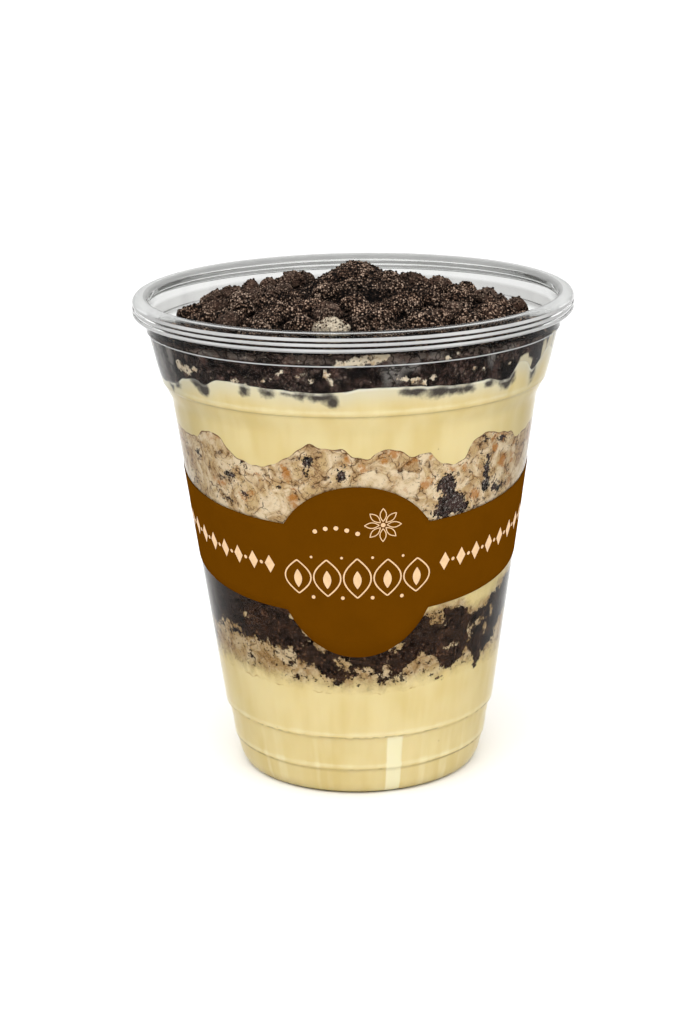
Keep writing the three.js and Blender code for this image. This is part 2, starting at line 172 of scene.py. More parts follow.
LOWER_DARK = [
    (37.5, 32.2, 2.6, 2.8), (53.5, 30.4, 1.3, 3.0), (63, 33.8, 1.8, 2.4), (64, 42.6, 1.8, 1.3),
    (19, 35.4, 2.0, 2.6), (14, 29.6, 1.8, 1.0), (8.5, 29.8, 1.2, 1.4), (-8, 29.2, 1.3, 1.5),
    (-34, 38, 1.5, 2.2), (-63.6, 37, 1.4, 0.8), (-52, 36.8, 2.4, 0.7), (-24.5, 29.4, 0.6, 0.6),
    (-27, 32.6, 0.8, 0.6), (-45, 32, 0.5, 0.5), (31, 27.5, 1.0, 0.4), (84, 31, 1.6, 2.4),
    (106, 30, 2.2, 1.6), (122, 33, 1.4, 3.0), (148, 30, 1.8, 2.6), (171, 29.4, 1.4, 1.6),
    (204, 31, 1.6, 2.8), (229, 30.6, 2.2, 1.4), (262, 34, 1.6, 2.0), (283, 33, 1.0, 1.6),
]
LOWER_PALE = [
    (30.4, 42.2, 2.0, 1.5), (-6, 33, 1.3, 1.2), (3, 31.4, 1.8, 0.8), (-13.6, 36.8, 1.5, 1.2),
    (-19, 40, 0.8, 1.4), (13.4, 37.2, 1.6, 1.4), (10.4, 31, 0.7, 1.6), (-46.5, 42, 0.6, 0.4),
    (-40, 42.4, 0.5, 0.5), (37.4, 34.8, 0.8, 0.5), (46.6, 37.4, 0.9, 1.5), (51.5, 39, 1.2, 0.8),
    (57, 36.6, 1.0, 1.4), (-42, 35.8, 1.5, 0.6), (-57, 38.4, 1.4, 0.7), (60, 39.4, 0.8, 1.0),
    (-24.4, 43.8, 0.7, 0.7), (27, 44, 2.2, 0.8), (88, 40, 1.4, 1.0), (117, 38, 1.8, 1.2),
    (139, 43, 1.2, 1.4), (166, 38.6, 1.6, 1.0), (197, 43, 1.4, 1.2), (219, 38, 1.0, 1.6),
    (246, 44, 1.6, 1.0), (274, 41, 1.2, 1.2),
]
COLLAR_PALE = [
    (-2.4, 102.5, 2.0, 0.8), (1, 102.9, 2.4, 1.0), (4.4, 103.5, 2.4, 1.1), (7.4, 104.2, 1.8, 0.9),
    (-56, 98.4, 1.6, 1.3), (-52.6, 97.8, 1.5, 1.1), (-49, 98.6, 0.9, 0.5), (-34, 97.4, 0.9, 0.5),
    (-31, 97, 0.6, 0.4), (-7, 100.2, 0.7, 1.0), (-6.2, 98.6, 0.4, 0.6), (-13.6, 100.2, 0.55, 0.4),
    (-11.6, 98.8, 0.6, 0.5), (-15.2, 99.4, 0.35, 0.35), (-25, 98.2, 0.4, 0.38), (-20.4, 99.9, 0.45, 0.4),
    (-19.2, 100.6, 0.3, 0.3), (16.6, 98.2, 1.1, 0.8), (13.6, 98.8, 0.6, 0.6), (11.2, 98.9, 0.5, 0.6),
    (18.8, 97.7, 0.7, 0.5), (21.2, 98.8, 0.7, 0.6), (34, 99.4, 0.7, 0.35), (37, 98.8, 0.4, 0.3),
    (25, 102.8, 0.7, 0.4), (28, 103.2, 0.5, 0.35), (47, 98.8, 0.5, 0.35), (90, 100, 1.8, 1.0),
    (118, 101.6, 1.2, 1.2), (144, 98.6, 2.0, 0.9), (171, 102, 1.0, 1.0), (203, 99.4, 1.6, 1.2),
    (232, 101, 1.2, 0.8), (258, 98.8, 1.8, 1.0), (284, 100.4, 0.9, 0.8),
]
COLLAR_CREAM = [
    (53.6, 98.2, 2.0, 1.9), (57, 97, 1.6, 1.8), (66, 99.4, 1.3, 2.6), (71, 99.8, 2.2, 3.4),
    (77, 99, 1.8, 3.6), (104, 98, 1.2, 2.2), (161, 98, 1.4, 2.4), (238, 99, 1.2, 2.6), (-83, 96, 1.4, 1.8),
]

# Patches of grey over the collar: painted sheen of the plastic, and dusty crumbs behind it
COLLAR_SHEEN_AND_DUST = [
    (9.4, 100, 2.6, 3.4), (14.6, 101.6, 3.0, 1.6), (-61, 100, 2.4, 4.2), (-69, 99, 2.6, 5.0),
    (-44, 103, 3.6, 1.2), (-33, 103.4, 4.2, 1.0), (40, 101.4, 1.4, 2.8), (46, 102.8, 2.6, 1.4),
    (20, 103.6, 3.4, 1.0), (96, 101, 3.0, 2.6), (137, 99.6, 2.6, 2.8), (176, 101, 3.4, 2.4),
    (214, 100.4, 2.4, 3.2), (256, 101.4, 3.2, 2.2),
]

# The crumb heap: its surface from the middle outwards as (distance, height), and its lower rim
HEAP_SLOPE = [
    (0, 116), (2, 115.7), (3.2, 115.2), (5, 114.3), (8.5, 112.4), (10, 111.7), (14, 110.2), (20, 109),
    (30, 107.1),
]
HEAP_SHOULDER = {"distance": 38, "front": 105.8, "back": 103.4}
HEAP_WALL = {"distance": 45, "front": 105, "back": 101.6}
HEAP_LEAN = {"drop": 0.06, "limit": 25}
HEAP_PEAK = {"x": 1.2, "reach": 20}

# Lumps that stand out of the heap, as (x, y, width, rise of the middle over the heap's surface). SMOOTH ones
# are chunks of dark cookie, GRAINY ones are packed crumbs, and DUSTED ones have a light coat of dust
SMOOTH_CLUMPS = [
    (-12.1, 5, 4.6, 0.8), (-14.6, 6, 4.2, 0.8), (-10.5, 8, 3.4, 0.5), (-19, 7, 4.2, 0.6),
    (-22.8, 7, 4.4, 0.5), (-18, -5.5, 5.4, 0.1), (-15.2, -4.2, 4.6, 0.1), (-21, -4.6, 4.2, 0.1),
    (-27.6, 3, 5.4, 0.1), (-30.9, 2, 4.6, 0.8), (-29, -6.6, 4.4, 0.1), (-38.2, 3, 3, 0.2),
    (-27, -19, 5.6, -0.4), (12.4, 7, 4.6, 0.1), (15, 7.6, 4.6, 0), (18.8, 8, 4.4, 0), (28.8, 0, 4.2, -0.1),
    (32.8, 1, 3.4, -0.1), (36.4, 0.5, 4.6, 0.4), (39, -2, 3, -0.8), (-5.2, -20.6, 6.4, -1.1),
    (21.6, -15.4, 4.4, -0.5), (4, 30, 4.6, 0.4), (-14, 27, 5.4, 0.5), (21, 25, 5, 0.6), (-27, 20, 4.4, 0.5),
    (31, 18, 4.6, 0.4), (-6, 38, 4, 0.3),
]
GRAINY_CLUMPS = [
    (-35.7, -2.2, 5.1, -0.3), (-31.4, -13.6, 4.6, 0), (-16.3, -16.6, 7.4, -1.4), (-10.4, -27.4, 6.6, -1),
    (-20.4, -26.4, 7.6, -1.6), (-23.6, -11.4, 5, -0.6), (23.2, -3.5, 5.6, -0.8), (17.4, -9.2, 6, -1.2),
    (14.6, -26.4, 6.4, -1.1), (6, -24.6, 6.4, -1.2), (9.6, -6.2, 5.4, -1.4), (0.4, -15.4, 5.6, -1.4),
    (25.6, -21.6, 4.4, -0.5), (-6, -8.8, 5.4, -1.4), (33.4, -4.4, 4, -0.3), (10.4, -16.6, 5.6, -1.2),
    (-13, -10, 4.6, -0.8), (-2, 20, 5, 0.1), (-36, -16, 4, -0.2), (36, -16, 3.8, -0.2), (8, 12, 5, -0.8),
    (-16, 18, 5.4, -0.6), (26, 12, 5, -0.4), (12, 36, 4.2, -0.2), (-30, 27, 4.2, 0),
]
DUSTED_CLUMPS = [
    (-25, -7, 5.6, 0.1), (-22.6, -6, 4, 0.2), (29.4, -14, 6.4, -0.6), (-31.5, -6, 3.6, 0),
    (12, 29, 4.6, 0.3), (-19, 30, 4.2, 0.3), (18.5, -21, 4.6, -0.6), (-33, 14, 4, 0.4),
]
PALE_CLUMPS = [(-4.6, -29.8, 8.6, 0.0), (-5.6, 33, 4, 0.4)]
HOLLOWS = [
    (-5.6, -25.4, 6, 1.2), (20, -15, 6, 0.8), (-23.4, -17, 5, 0.8), (2.4, -29, 4, 0.8),
    (-12, -21.4, 4, 0.8),
]
MERGED_CLUMPS = [
    (-17.8, -20, 8), (-33.5, -10, 6), (10.2, -12, 8.6), (16.2, -26, 8), (3, -20, 7.6), (24, -18, 8),
    (-27, -14, 7), (-14, -6, 7.4), (15, -3, 8), (22, -6, 6.6), (-20, 3, 7), (8, -30, 6.4), (-20, -31, 7),
    (33, -6, 5), (-12, -16, 8), (-29, -3, 6), (8, 6, 6),
]

# The label: a strip with two arms that meet at a badge
LABEL_ARM = {"end": 119, "half_height": 10.1, "middle": 55.2}
LABEL_BADGE = {"half_width": 18.3, "half_height": 19.9, "middle": 54.9}

# The camera in front of the cup, in mm and degrees
CAMERA_DISTANCE = 492.9
CAMERA_HEIGHT = 201.5
CAMERA_PITCH = 16.23
CAMERA_YAW = -0.394
CAMERA_ROLL = -1.054
CAMERA_LENS = 78.95
SENSOR = 36.0


def linear(red, green, blue):
    """A linear colour from its 0 to 255 display values."""
    parts = [value / 255 for value in (red, green, blue)]
    return tuple(v / 12.92 if v <= 0.04045 else ((v + 0.055) / 1.055) ** 2.4 for v in parts)


def colour_property(name, description, red, green, blue):
    return FloatVectorProperty(
        name=name, description=description, subtype="COLOR", size=3, min=0, max=1,
        default=linear(red, green, blue),
    )


def length_property(name, description, millimetres):
    return FloatProperty(
        name=name, description=description, default=millimetres * MM, min=0, unit="LENGTH", precision=5,
    )


class CupSettings(PropertyGroup):
    wall: length_property("Wall", "Thickness of the plastic sheet", 0.45)
    bite: length_property("Bite", "How far the filling reaches into the wall", 0.15)
    segments: IntProperty(name="Segments", description="Steps round the cup", default=240, min=24)
    plastic: colour_property("Plastic", "Tint of the clear plastic", 250, 251, 250)
    haze: colour_property("Haze", "Colour of the milky beads of the rim", 232, 232, 231)
    smoke: colour_property("Smoke", "Tint of the bare wall over the filling", 186, 186, 184)
    # Grey that partly paints shade on the plastic's sides and outline
    edge: colour_property("Edge", "Tint of the plastic seen edge on", 176, 176, 174)


class LabelSettings(PropertyGroup):
    thickness: length_property("Paper", "Thickness of the label", 0.12)
    ink_thickness: length_property("Ink", "Thickness of the printed ornament", 0.02)
    paper: colour_property("Paper", "Colour of the label", 94, 54, 2)
    ink: colour_property("Ink", "Colour of the ornament", 228, 190, 146)


class FillingSettings(PropertyGroup):
    segments: IntProperty(name="Segments", description="Steps round a layer", default=480, min=24)
    row: length_property("Row", "Height of a row of faces at the wall", 0.55)
    cream: colour_property("Cream", "Colour of the cream", 233, 212, 151)
    sponge: colour_property("Sponge", "Colour of the sponge", 222, 202, 168)
    stain: colour_property("Stain", "Colour of the browned sponge", 180, 116, 50)
    cookie: colour_property("Cookie", "Colour of the dark cookie", 56, 43, 36)


class HeapSettings(PropertyGroup):
    seed: IntProperty(name="Seed", description="Seed of every random draw in the heap", default=11)
    small_clumps: IntProperty(name="Small clumps", description="Clumps spread over the heap", default=110)
    grains: IntProperty(name="Grains", description="Loose grains on the heap", default=7000)
    # Painted shade in the gaps between the crumbs and the collar's cracks
    dark: colour_property("Dark crumb", "Gaps between the crumbs", 9, 7, 6)
    brown: colour_property("Brown crumb", "Most of the crumbs", 87, 68, 56)
    light: colour_property("Light crumb", "Lightest crumbs", 186, 163, 144)
    pale: colour_property("Pale crumb", "Crumbs of pale sponge", 222, 208, 184)


class StudioSettings(PropertyGroup):
    floor: colour_property("Floor", "Colour of the floor", 252, 252, 252)
    sky: FloatProperty(name="Sky", description="Brightness of the surround overhead", default=1.24)
    horizon: FloatProperty(name="Horizon", description="Brightness at the horizon", default=0.62)
    key: FloatProperty(name="Key light", description="Power of the softbox above", default=4.2, unit="POWER")


class DessertSettings(PropertyGroup):
    cup: PointerProperty(type=CupSettings)
    label: PointerProperty(type=LabelSettings)
    filling: PointerProperty(type=FillingSettings)
    heap: PointerProperty(type=HeapSettings)
    studio: PointerProperty(type=StudioSettings)


# Curves and fields


def rounded(points, steps=5):
    """A profile of (radius, height) points with each corner rounded off by its own amount."""
    smooth = []
    for index, (radius, height, rounding) in enumerate(points):
        corner = np.array((radius, height), float)
        if rounding == 0 or index in (0, len(points) - 1):
            smooth.append(tuple(corner))
            continue
        before = np.array(points[index - 1][:2], float) - corner
        after = np.array(points[index + 1][:2], float) - corner
        reach = min(rounding, np.linalg.norm(before) * 0.49, np.linalg.norm(after) * 0.49)
        start = corner + before / np.linalg.norm(before) * reach
        end = corner + after / np.linalg.norm(after) * reach
        for share in np.linspace(0, 1, steps):
            smooth.append(tuple((1 - share) ** 2 * start + 2 * share * (1 - share) * corner + share**2 * end))
    return smooth


OUTER_WALL = rounded(UNDERSIDE + STEPS + COLLAR + [CURL_INSIDE[0]])


def outer_radius(height):
    """Radius of the cup's outside at a height, above the corner of its foot."""
    wall = [point for point in OUTER_WALL if point[0] > UNDERSIDE[-1][0] - UNDERSIDE[-1][2]]
    return np.interp(height, [point[1] for point in wall], [point[0] for point in wall])


def along_edge(crests, bearings):
    """Heights of a wavy edge at the bearings: a smooth closed curve that is flat at its crests and dips."""
    turns = np.array([crest[0] for crest in crests] + [crests[0][0] + 360.0])
    heights = np.array([crest[1] for crest in crests] + [crests[0][1]], float)
    steps = np.diff(turns)
    rises = np.diff(heights) / steps
    before = np.roll(rises, 1)
    together = np.where(before + rises == 0, 1, before + rises)
    slopes = np.where(before * rises > 0, 2 * before * rises / together, 0)
    slopes = np.append(slopes, slopes[0])
    turned = (np.asarray(bearings) - turns[0]) % 360.0 + turns[0]
    after = np.clip(np.searchsorted(turns, turned, side="right"), 1, len(turns) - 1)
    first = after - 1
    share = (turned - turns[first]) / steps[first]
    ease = share * share * (3 - 2 * share)
    bend = share * (1 - share) * steps[first]
    curve = heights[first] * (1 - ease) + heights[after] * ease
    return curve + bend * ((1 - share) * slopes[first] - share * slopes[after])


def ring_noise(bearings, wavelength, seed, terms=7):
    """A smooth random wave round the cup with about the wavelength in degrees, between about -1 and 1."""
    draw = np.random.default_rng(seed)
    turns = np.round(360 / wavelength * draw.uniform(0.6, 2.2, terms))
    phases = draw.uniform(0, 2 * np.pi, terms)
    angles = np.radians(np.asarray(bearings))[..., None] * turns + phases
    return np.sin(angles).sum(-1) / terms


def edge_surface(crests, ragged, seed):
    """The surface between two layers: its wave at the wall dies out towards the middle."""
    middle = float(np.mean([crest[1] for crest in crests]))

    def surface(bearings, reach):
        at_wall = along_edge(crests, bearings) + ragged * ring_noise(bearings, 9, seed)
        return middle + (at_wall - middle) * reach**2

    return surface


def heap_level(x, y):
    """Height of the heap's surface without its clumps."""
    distance = np.hypot(x, y)
    distance = np.hypot(x - HEAP_PEAK["x"] * np.clip(1 - distance / HEAP_PEAK["reach"], 0, 1), y)
    front = ((1 - y / np.maximum(distance, 1e-6)) / 2) ** 2
    slope_x = [point[0] for point in HEAP_SLOPE]
    slope_y = [point[1] for point in HEAP_SLOPE]
    inner = np.interp(distance, slope_x, slope_y)
    shoulder, wall = (
        ring["back"] + (ring["front"] - ring["back"]) * front for ring in (HEAP_SHOULDER, HEAP_WALL)
    )
    to_shoulder = np.clip((distance - slope_x[-1]) / (HEAP_SHOULDER["distance"] - slope_x[-1]), 0, 1)
    width = HEAP_WALL["distance"] - HEAP_SHOULDER["distance"]
    to_wall = np.clip((distance - HEAP_SHOULDER["distance"]) / width, 0, 1)
    level = inner + (shoulder - slope_y[-1]) * to_shoulder + (wall - shoulder) * to_wall
    return level - HEAP_LEAN["drop"] * np.clip(y, 0, HEAP_LEAN["limit"])


def patch_depth(points, patches):
    """How deep each point lies in the nearest patch seen through the wall, in mm. Outside it's below zero."""
    bearings = bearings_of(points)
    radius = np.hypot(points[:, 0], points[:, 1])
    depth = np.full(len(points), -9.0)
    for bearing, height, half_width, half_height in patches:
        across = np.radians((bearings - bearing + 180) % 360 - 180) * radius / half_width
        up = (points[:, 2] - height) / half_height
        depth = np.maximum(depth, (1 - np.hypot(across, up)) * min(half_width, half_height))
    return depth


def grain_noise(points, size, seed, octaves=3):
    """Fractal noise at points in mm, with features of about the size."""
    shift = Vector((seed * 7.13, seed * 3.71, seed * 5.37))
    return np.array([
        noise.fractal(Vector(point) / size + shift, 0.8, 2.1, octaves, noise_basis="BLENDER")
        for point in points
    ])


def knob_noise(points, size, seed):
    """Round knobs of about the size: 0 in the seams between them, 1 on their tops."""
    shift = Vector((seed * 2.17, seed * 9.31, seed * 4.53))
    return np.array([
        1 - min(1, 1.6 * noise.voronoi(Vector(point) / size + shift)[0][0]) for point in points
    ])


# Meshes


def turned(profile, steps):
    """A bmesh turned about Z from a profile of (radius, height) points that starts and ends on the axis."""
    shape = bmesh.new()
    line = [shape.verts.new((radius, 0, height)) for radius, height in profile]
    edges = [shape.edges.new(pair) for pair in zip(line, line[1:])]
    bmesh.ops.spin(
        shape, geom=line + edges, cent=(0, 0, 0), axis=(0, 0, 1), dvec=(0, 0, 0), angle=2 * math.pi,
        steps=steps, use_merge=True, use_duplicate=False,
    )
    bmesh.ops.remove_doubles(shape, verts=shape.verts, dist=1e-4)
    bmesh.ops.recalc_face_normals(shape, faces=shape.faces)
    if shape.calc_volume(signed=True) < 0:
        bmesh.ops.reverse_faces(shape, faces=shape.faces)
    return shape


def to_mesh(name, shape):
    """A mesh from a bmesh, which is freed."""
    mesh = bpy.data.meshes.new(name)
    shape.to_mesh(mesh)
    shape.free()
    return mesh


def read_points(mesh):
    points = np.empty(len(mesh.vertices) * 3)
    mesh.vertices.foreach_get("co", points)
    return points.reshape(-1, 3)


def write_points(mesh, points):
    mesh.vertices.foreach_set("co", np.ascontiguousarray(points).ravel())
    mesh.update()


def set_attribute(mesh, name, values):
    """A value for every vertex, which the mesh's material reads."""
    layer = mesh.attributes.new(name, "FLOAT", "POINT")
    layer.data.foreach_set("value", np.asarray(values, dtype=np.float32))


def place(bearings, radius, heights):
    """Points in mm at the bearings, radius and heights."""
    angles = np.radians(bearings)
    flat = np.broadcast_arrays(radius * np.sin(angles), -radius * np.cos(angles), heights)
    return np.stack(flat, axis=-1)


def bearings_of(points):
    return np.degrees(np.arctan2(points[:, 0], -points[:, 1]))


def face_centres(mesh):
    centres = np.empty(len(mesh.polygons) * 3)
    mesh.polygons.foreach_get("center", centres)
    return centres.reshape(-1, 3)


def finished(name, mesh, materials, slot, *nodes, smooth=True, second=None):
    """An object in the scene from a mesh in mm, standing for its nodes and riding on the body. The faces
    marked in second have the second material."""
    for material in materials:
        mesh.materials.append(material)
    if second is not None:
        mesh.polygons.foreach_set("material_index", second.astype(np.int32))
    write_points(mesh, read_points(mesh) * MM)
    mesh.polygons.foreach_set("use_smooth", [smooth] * len(mesh.polygons))
    piece = bpy.data.objects.new(name, mesh)
    bpy.context.scene.collection.objects.link(piece)
    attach(piece, BODY)
    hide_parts(*nodes)
    return piece


def thickened(mesh, thickness):
    """Gives a sheet that lies round the cup its thickness in mm."""
    shape = bmesh.new()
    shape.from_mesh(mesh)
    for face in shape.faces:
        if face.normal.dot(face.calc_center_median().xy.to_3d()) < 0:
            face.normal_flip()
    bmesh.ops.solidify(shape, geom=shape.faces[:], thickness=-thickness)
    bmesh.ops.recalc_face_normals(shape, faces=shape.faces)
    shape.to_mesh(mesh)
    shape.free()


def joined(template, sizes, turns, centres):
    """Copies of one small mesh as arrays: each with its own three sizes, turn matrix and centre."""
    corners = read_points(template)
    faces = np.empty(len(template.loops), dtype=np.int64)
    template.loops.foreach_get("vertex_index", faces)
    scaled = corners[None, :, :] * sizes[:, None, :]
    points = np.einsum("nij,nkj->nki", turns, scaled) + centres[:, None, :]
    starts = np.arange(len(sizes))[:, None] * len(corners)
    return points.reshape(-1, 3), (faces[None, :] + starts).reshape(-1, 3)


def mesh_from_arrays(name, points, faces):
    mesh = bpy.data.meshes.new(name)
    mesh.from_pydata(points.tolist(), [], faces.tolist())
    mesh.update()
    return mesh


def ball(subdivisions):
    """A unit ball of triangles."""
    shape = bmesh.new()
    bmesh.ops.create_icosphere(shape, subdivisions=subdivisions, radius=1)
    return to_mesh("ball", shape)


def random_turns(draw, count):
    """Turn matrices with every direction as likely."""
    quaternions = draw.normal(size=(count, 4))
    quaternions /= np.linalg.norm(quaternions, axis=1)[:, None]
    w, x, y, z = quaternions.T
    rows = [
        [1 - 2 * (y * y + z * z), 2 * (x * y - z * w), 2 * (x * z + y * w)],
        [2 * (x * y + z * w), 1 - 2 * (x * x + z * z), 2 * (y * z - x * w)],
        [2 * (x * z - y * w), 2 * (y * z + x * w), 1 - 2 * (x * x + y * y)],
    ]
    return np.moveaxis(np.array(rows), 2, 0)


# Materials


class Graph:
    """The nodes of one material. Positions are Object coordinates in metres."""

    def __init__(self, name):
        self.material = bpy.data.materials.new(name)
        self.material.use_nodes = True
        self.tree = self.material.node_tree
        self.shader = self.tree.nodes["Principled BSDF"]
        self.place = self.node("ShaderNodeTexCoord").outputs["Object"]

    def node(self, kind, inputs=None, **settings):
        node = self.tree.nodes.new(kind)
        for key, value in settings.items():
            setattr(node, key, value)
        for key, value in (inputs or {}).items():
            self.feed(node.inputs[key], value)
        return node

    def feed(self, socket, value):
        if isinstance(value, bpy.types.NodeSocket):
            self.tree.links.new(value, socket)
        elif socket.type == "RGBA" and len(value) == 3:
            socket.default_value = (*value, 1)
        else:
            socket.default_value = value

    def math(self, operation, first, second=0.0):
        return self.node("ShaderNodeMath", {0: first, 1: second}, operation=operation).outputs[0]

    def vector(self, operation, first, second=(0, 0, 0), output="Vector"):
        node = self.node("ShaderNodeVectorMath", {0: first, 1: second}, operation=operation)
        return node.outputs[output]

    def split(self, vector):
        """The x, y and z of a vector."""
        return self.node("ShaderNodeSeparateXYZ", {0: vector}).outputs

    def facing(self):
        """0 where the surface faces the eye, 1 where the eye runs along it."""
        return self.node("ShaderNodeLayerWeight", {"Blend": 0.5}).outputs["Facing"]

    def mix(self, share, first, second, blend="MIX"):
        node = self.node("ShaderNodeMix", data_type="RGBA", clamp_factor=True, blend_type=blend)
        sockets = {socket.identifier: socket for socket in (*node.inputs, *node.outputs)}
        for key, value in (("Factor_Float", share), ("A_Color", first), ("B_Color", second)):
            self.feed(sockets[key], value)
        return sockets["Result_Color"]

    def tint(self, share, colour, by):
        """A colour multiplied by another, as far as the share says."""
        return self.mix(share, colour, by, "MULTIPLY")

    def noise(self, size, detail=3.0, roughness=0.55, distortion=0.0, stretch=None):
        """Noise with features of about the size in mm."""
        inputs = {
            "Vector": self.stretched(stretch), "Scale": 1 / (size * MM), "Detail": detail,
            "Roughness": roughness, "Distortion": distortion,
        }
        return self.node("ShaderNodeTexNoise", inputs).outputs[0]

    def swing(self, size, reach, **options):
        """Noise that swings about zero, by about the reach each way."""
        return self.math("MULTIPLY", self.math("SUBTRACT", self.noise(size, **options), 0.5), reach * 4)

    def add(self, first, second):
        return self.math("ADD", first, second)

    def times(self, first, second):
        return self.math("MULTIPLY", first, second)

    def stretched(self, stretch):
        if stretch is None:
            return self.place
        return self.node("ShaderNodeMapping", {"Vector": self.place, "Scale": stretch}).outputs[0]

    def cells(self, size, feature="F1", output="Distance", wobble=0.0, wobble_size=2.0):
        """Cells of about the size in mm, with their edges bent by a wobble in mm."""
        vector = self.place
        if wobble:
            inputs = {"Vector": self.place, "Scale": 1 / (wobble_size * MM)}
            bent = self.node("ShaderNodeTexNoise", inputs).outputs["Color"]
            centred = self.vector("SUBTRACT", bent, (0.5, 0.5, 0.5))
            vector = self.vector("ADD", self.place, self.vector("MULTIPLY", centred, (wobble * MM,) * 3))
        inputs = {"Vector": vector, "Scale": 1 / (size * MM)}
        return self.node("ShaderNodeTexVoronoi", inputs, feature=feature).outputs[output]

    def grains(self, size, reach=(0.12, 0.58), **options):
        """Grains of about the size in mm: how near a grain's middle a point is, and the grain's own tone."""
        near = self.ramp(self.cells(size, **options), *reach, 1.0, 0.0)
        colours = self.cells(size, output="Color", **options)
        return near, self.node("ShaderNodeSeparateColor", {"Color": colours}).outputs[0]

    def ramp(self, value, low, high, start=0.0, end=1.0):
        """A value from start to end as the input goes from low to high, held beyond them."""
        inputs = {"Value": value, "From Min": low, "From Max": high, "To Min": start, "To Max": end}
        return self.node("ShaderNodeMapRange", inputs, clamp=True, interpolation_type="SMOOTHSTEP").outputs[0]

    def attribute(self, name):
        return self.node("ShaderNodeAttribute", attribute_name=name).outputs["Fac"]

    def bump(self, height, depth, strength=1.0):
        """Fine relief of the depth in mm."""
        inputs = {"Height": height, "Distance": depth * MM, "Strength": strength}
        self.feed(self.shader.inputs["Normal"], self.node("ShaderNodeBump", inputs).outputs[0])

    def finish(self, colour=None, **constants):
        """Sets the shader's colour and its constant sockets."""
        if colour is not None:
            self.feed(self.shader.inputs["Base Color"], colour)
        for name, value in constants.items():
            self.shader.inputs[name.replace("_", " ").title().replace("Ior", "IOR")].default_value = value
        return self.material


def edge_on_shade(graph, colour, settings, share):
    """Plastic is tinted grey where the eye runs along it, most of all at its outline: partly its longer path
    through the sheet, partly painted shade on its sides and outline.
    """
    facing = graph.facing()
    for low, high in ((0.2, 0.76), (0.88, 1.0)):
        colour = graph.tint(graph.times(graph.ramp(facing, low, high), share), colour, tuple(settings.edge))
    return colour


def plastic_material(settings):
    """Clear thermoformed plastic, smoky where the wall stands bare over the filling, which lies lower at the
    back than at the front."""
    graph = Graph("clear_plastic")
    _, depth, height = graph.split(graph.place)
    level = graph.add(height, graph.times(depth, SMOKE["lean"]))
    streaks = graph.times(graph.swing(20, 0.5, detail=2, stretch=(1, 1, 5)), 0.0004)
    smoke = graph.ramp(graph.add(level, streaks), SMOKE["from"] * MM, SMOKE["to"] * MM)
    radius = graph.vector("LENGTH", graph.vector("MULTIPLY", graph.place, (1, 1, 0)), output="Value")
    for value, limit, width, left in (
        (radius, SMOKE["radius"], 0.2, 0.0), (height, SMOKE["curl"], 1.0, SMOKE["curl_share"]),
    ):
        smoke = graph.times(smoke, graph.ramp(value, limit * MM, (limit + width) * MM, 1.0, left))
    uneven = graph.ramp(graph.noise(9, detail=2, stretch=(1, 1, 0.3)), 0.35, 0.65)
    smoky = graph.mix(uneven, tuple(settings.smoke), tuple(np.array(settings.smoke) * 1.12))
    colour = graph.mix(smoke, tuple(settings.plastic), smoky)
    body = graph.ramp(height, DENSE["foot"] * MM, DENSE["body"] * MM, DENSE["foot_share"], 1.0)
    dense = graph.times(graph.ramp(level, DENSE["from"] * MM, DENSE["to"] * MM, 1.0, 0.05), body)
    crown = graph.ramp(height, CROWN["from"] * MM, CROWN["to"] * MM, 0.0, DENSE["crown_share"])
    colour = edge_on_shade(graph, colour, settings, graph.add(dense, crown))
    backwards = graph.ramp(depth, CROWN["front"] * MM, CROWN["side"] * MM, 0.0, 0.62)
    milky = graph.times(graph.ramp(height, CROWN["milky_from"] * MM, CROWN["milky_to"] * MM), backwards)
    colour = graph.tint(milky, colour, (0.52, 0.52, 0.515))
    graph.feed(graph.shader.inputs["Transmission Weight"], graph.math("SUBTRACT", 1.0, milky))
    return graph.finish(colour, roughness=0.02, ior=1.1)


def rim_material(settings):
    """The same plastic where it's thick and stretched: milky. On the collar's ledge it stands as a painted
    highlight.
    """
    graph = Graph("rim_plastic")
    uneven = graph.noise(16, detail=2, stretch=(1, 1, 3))
    base = tuple(settings.haze)
    colour = graph.mix(graph.ramp(uneven, 0.35, 0.65), tuple(value * 0.84 for value in base), base)
    # Painted shade on the rim's outline, by the facing
    colour = edge_on_shade(graph, colour, settings, 0.6)
    return graph.finish(
        colour, transmission_weight=0.4, roughness=0.12, ior=1.4, specular_ior_level=0.3,
    )


def painted_side_reflection(graph, colour, share):
    """Painted reflection: upright grey streaks where the eye runs along the wall, standing in for the room it
    mirrors there.
    """
    streaks = graph.noise(2.6, detail=4, roughness=0.6, stretch=(1, 1, 0.2))
    streaks = graph.times(graph.ramp(streaks, 0.42, 0.58, 0.1, share), graph.ramp(graph.facing(), 0.42, 0.82))
    return graph.mix(streaks, colour, linear(178, 174, 167))


def paper_material(settings):
    """Coated sticker paper with a faint fibre and slight print mottle."""
    graph = Graph("label_paper")
    fibre = graph.noise(0.35, detail=4, stretch=(1, 1, 2.5))
    mottle = graph.noise(9, detail=3)
    base = np.array(settings.paper)
    colour = graph.mix(graph.ramp(mottle, 0.3, 0.7), tuple(base * 0.92), tuple(base))
    colour = graph.mix(graph.times(graph.ramp(fibre, 0.45, 0.8), 0.25), colour, tuple(base * 1.35))
    graph.bump(fibre, 0.01, 0.3)
    return graph.finish(colour, roughness=0.6, specular_ior_level=0.0)


def ink_material(settings):
    """Pale ink with a little unevenness."""
    graph = Graph("label_ink")
    uneven = graph.noise(1.2, detail=3)
    base = np.array(settings.ink)
    colour = graph.mix(graph.ramp(uneven, 0.3, 0.7), tuple(base * 0.88), tuple(base))
    graph.bump(uneven, 0.01, 0.4)
    return graph.finish(colour, roughness=0.45, specular_ior_level=0.2)


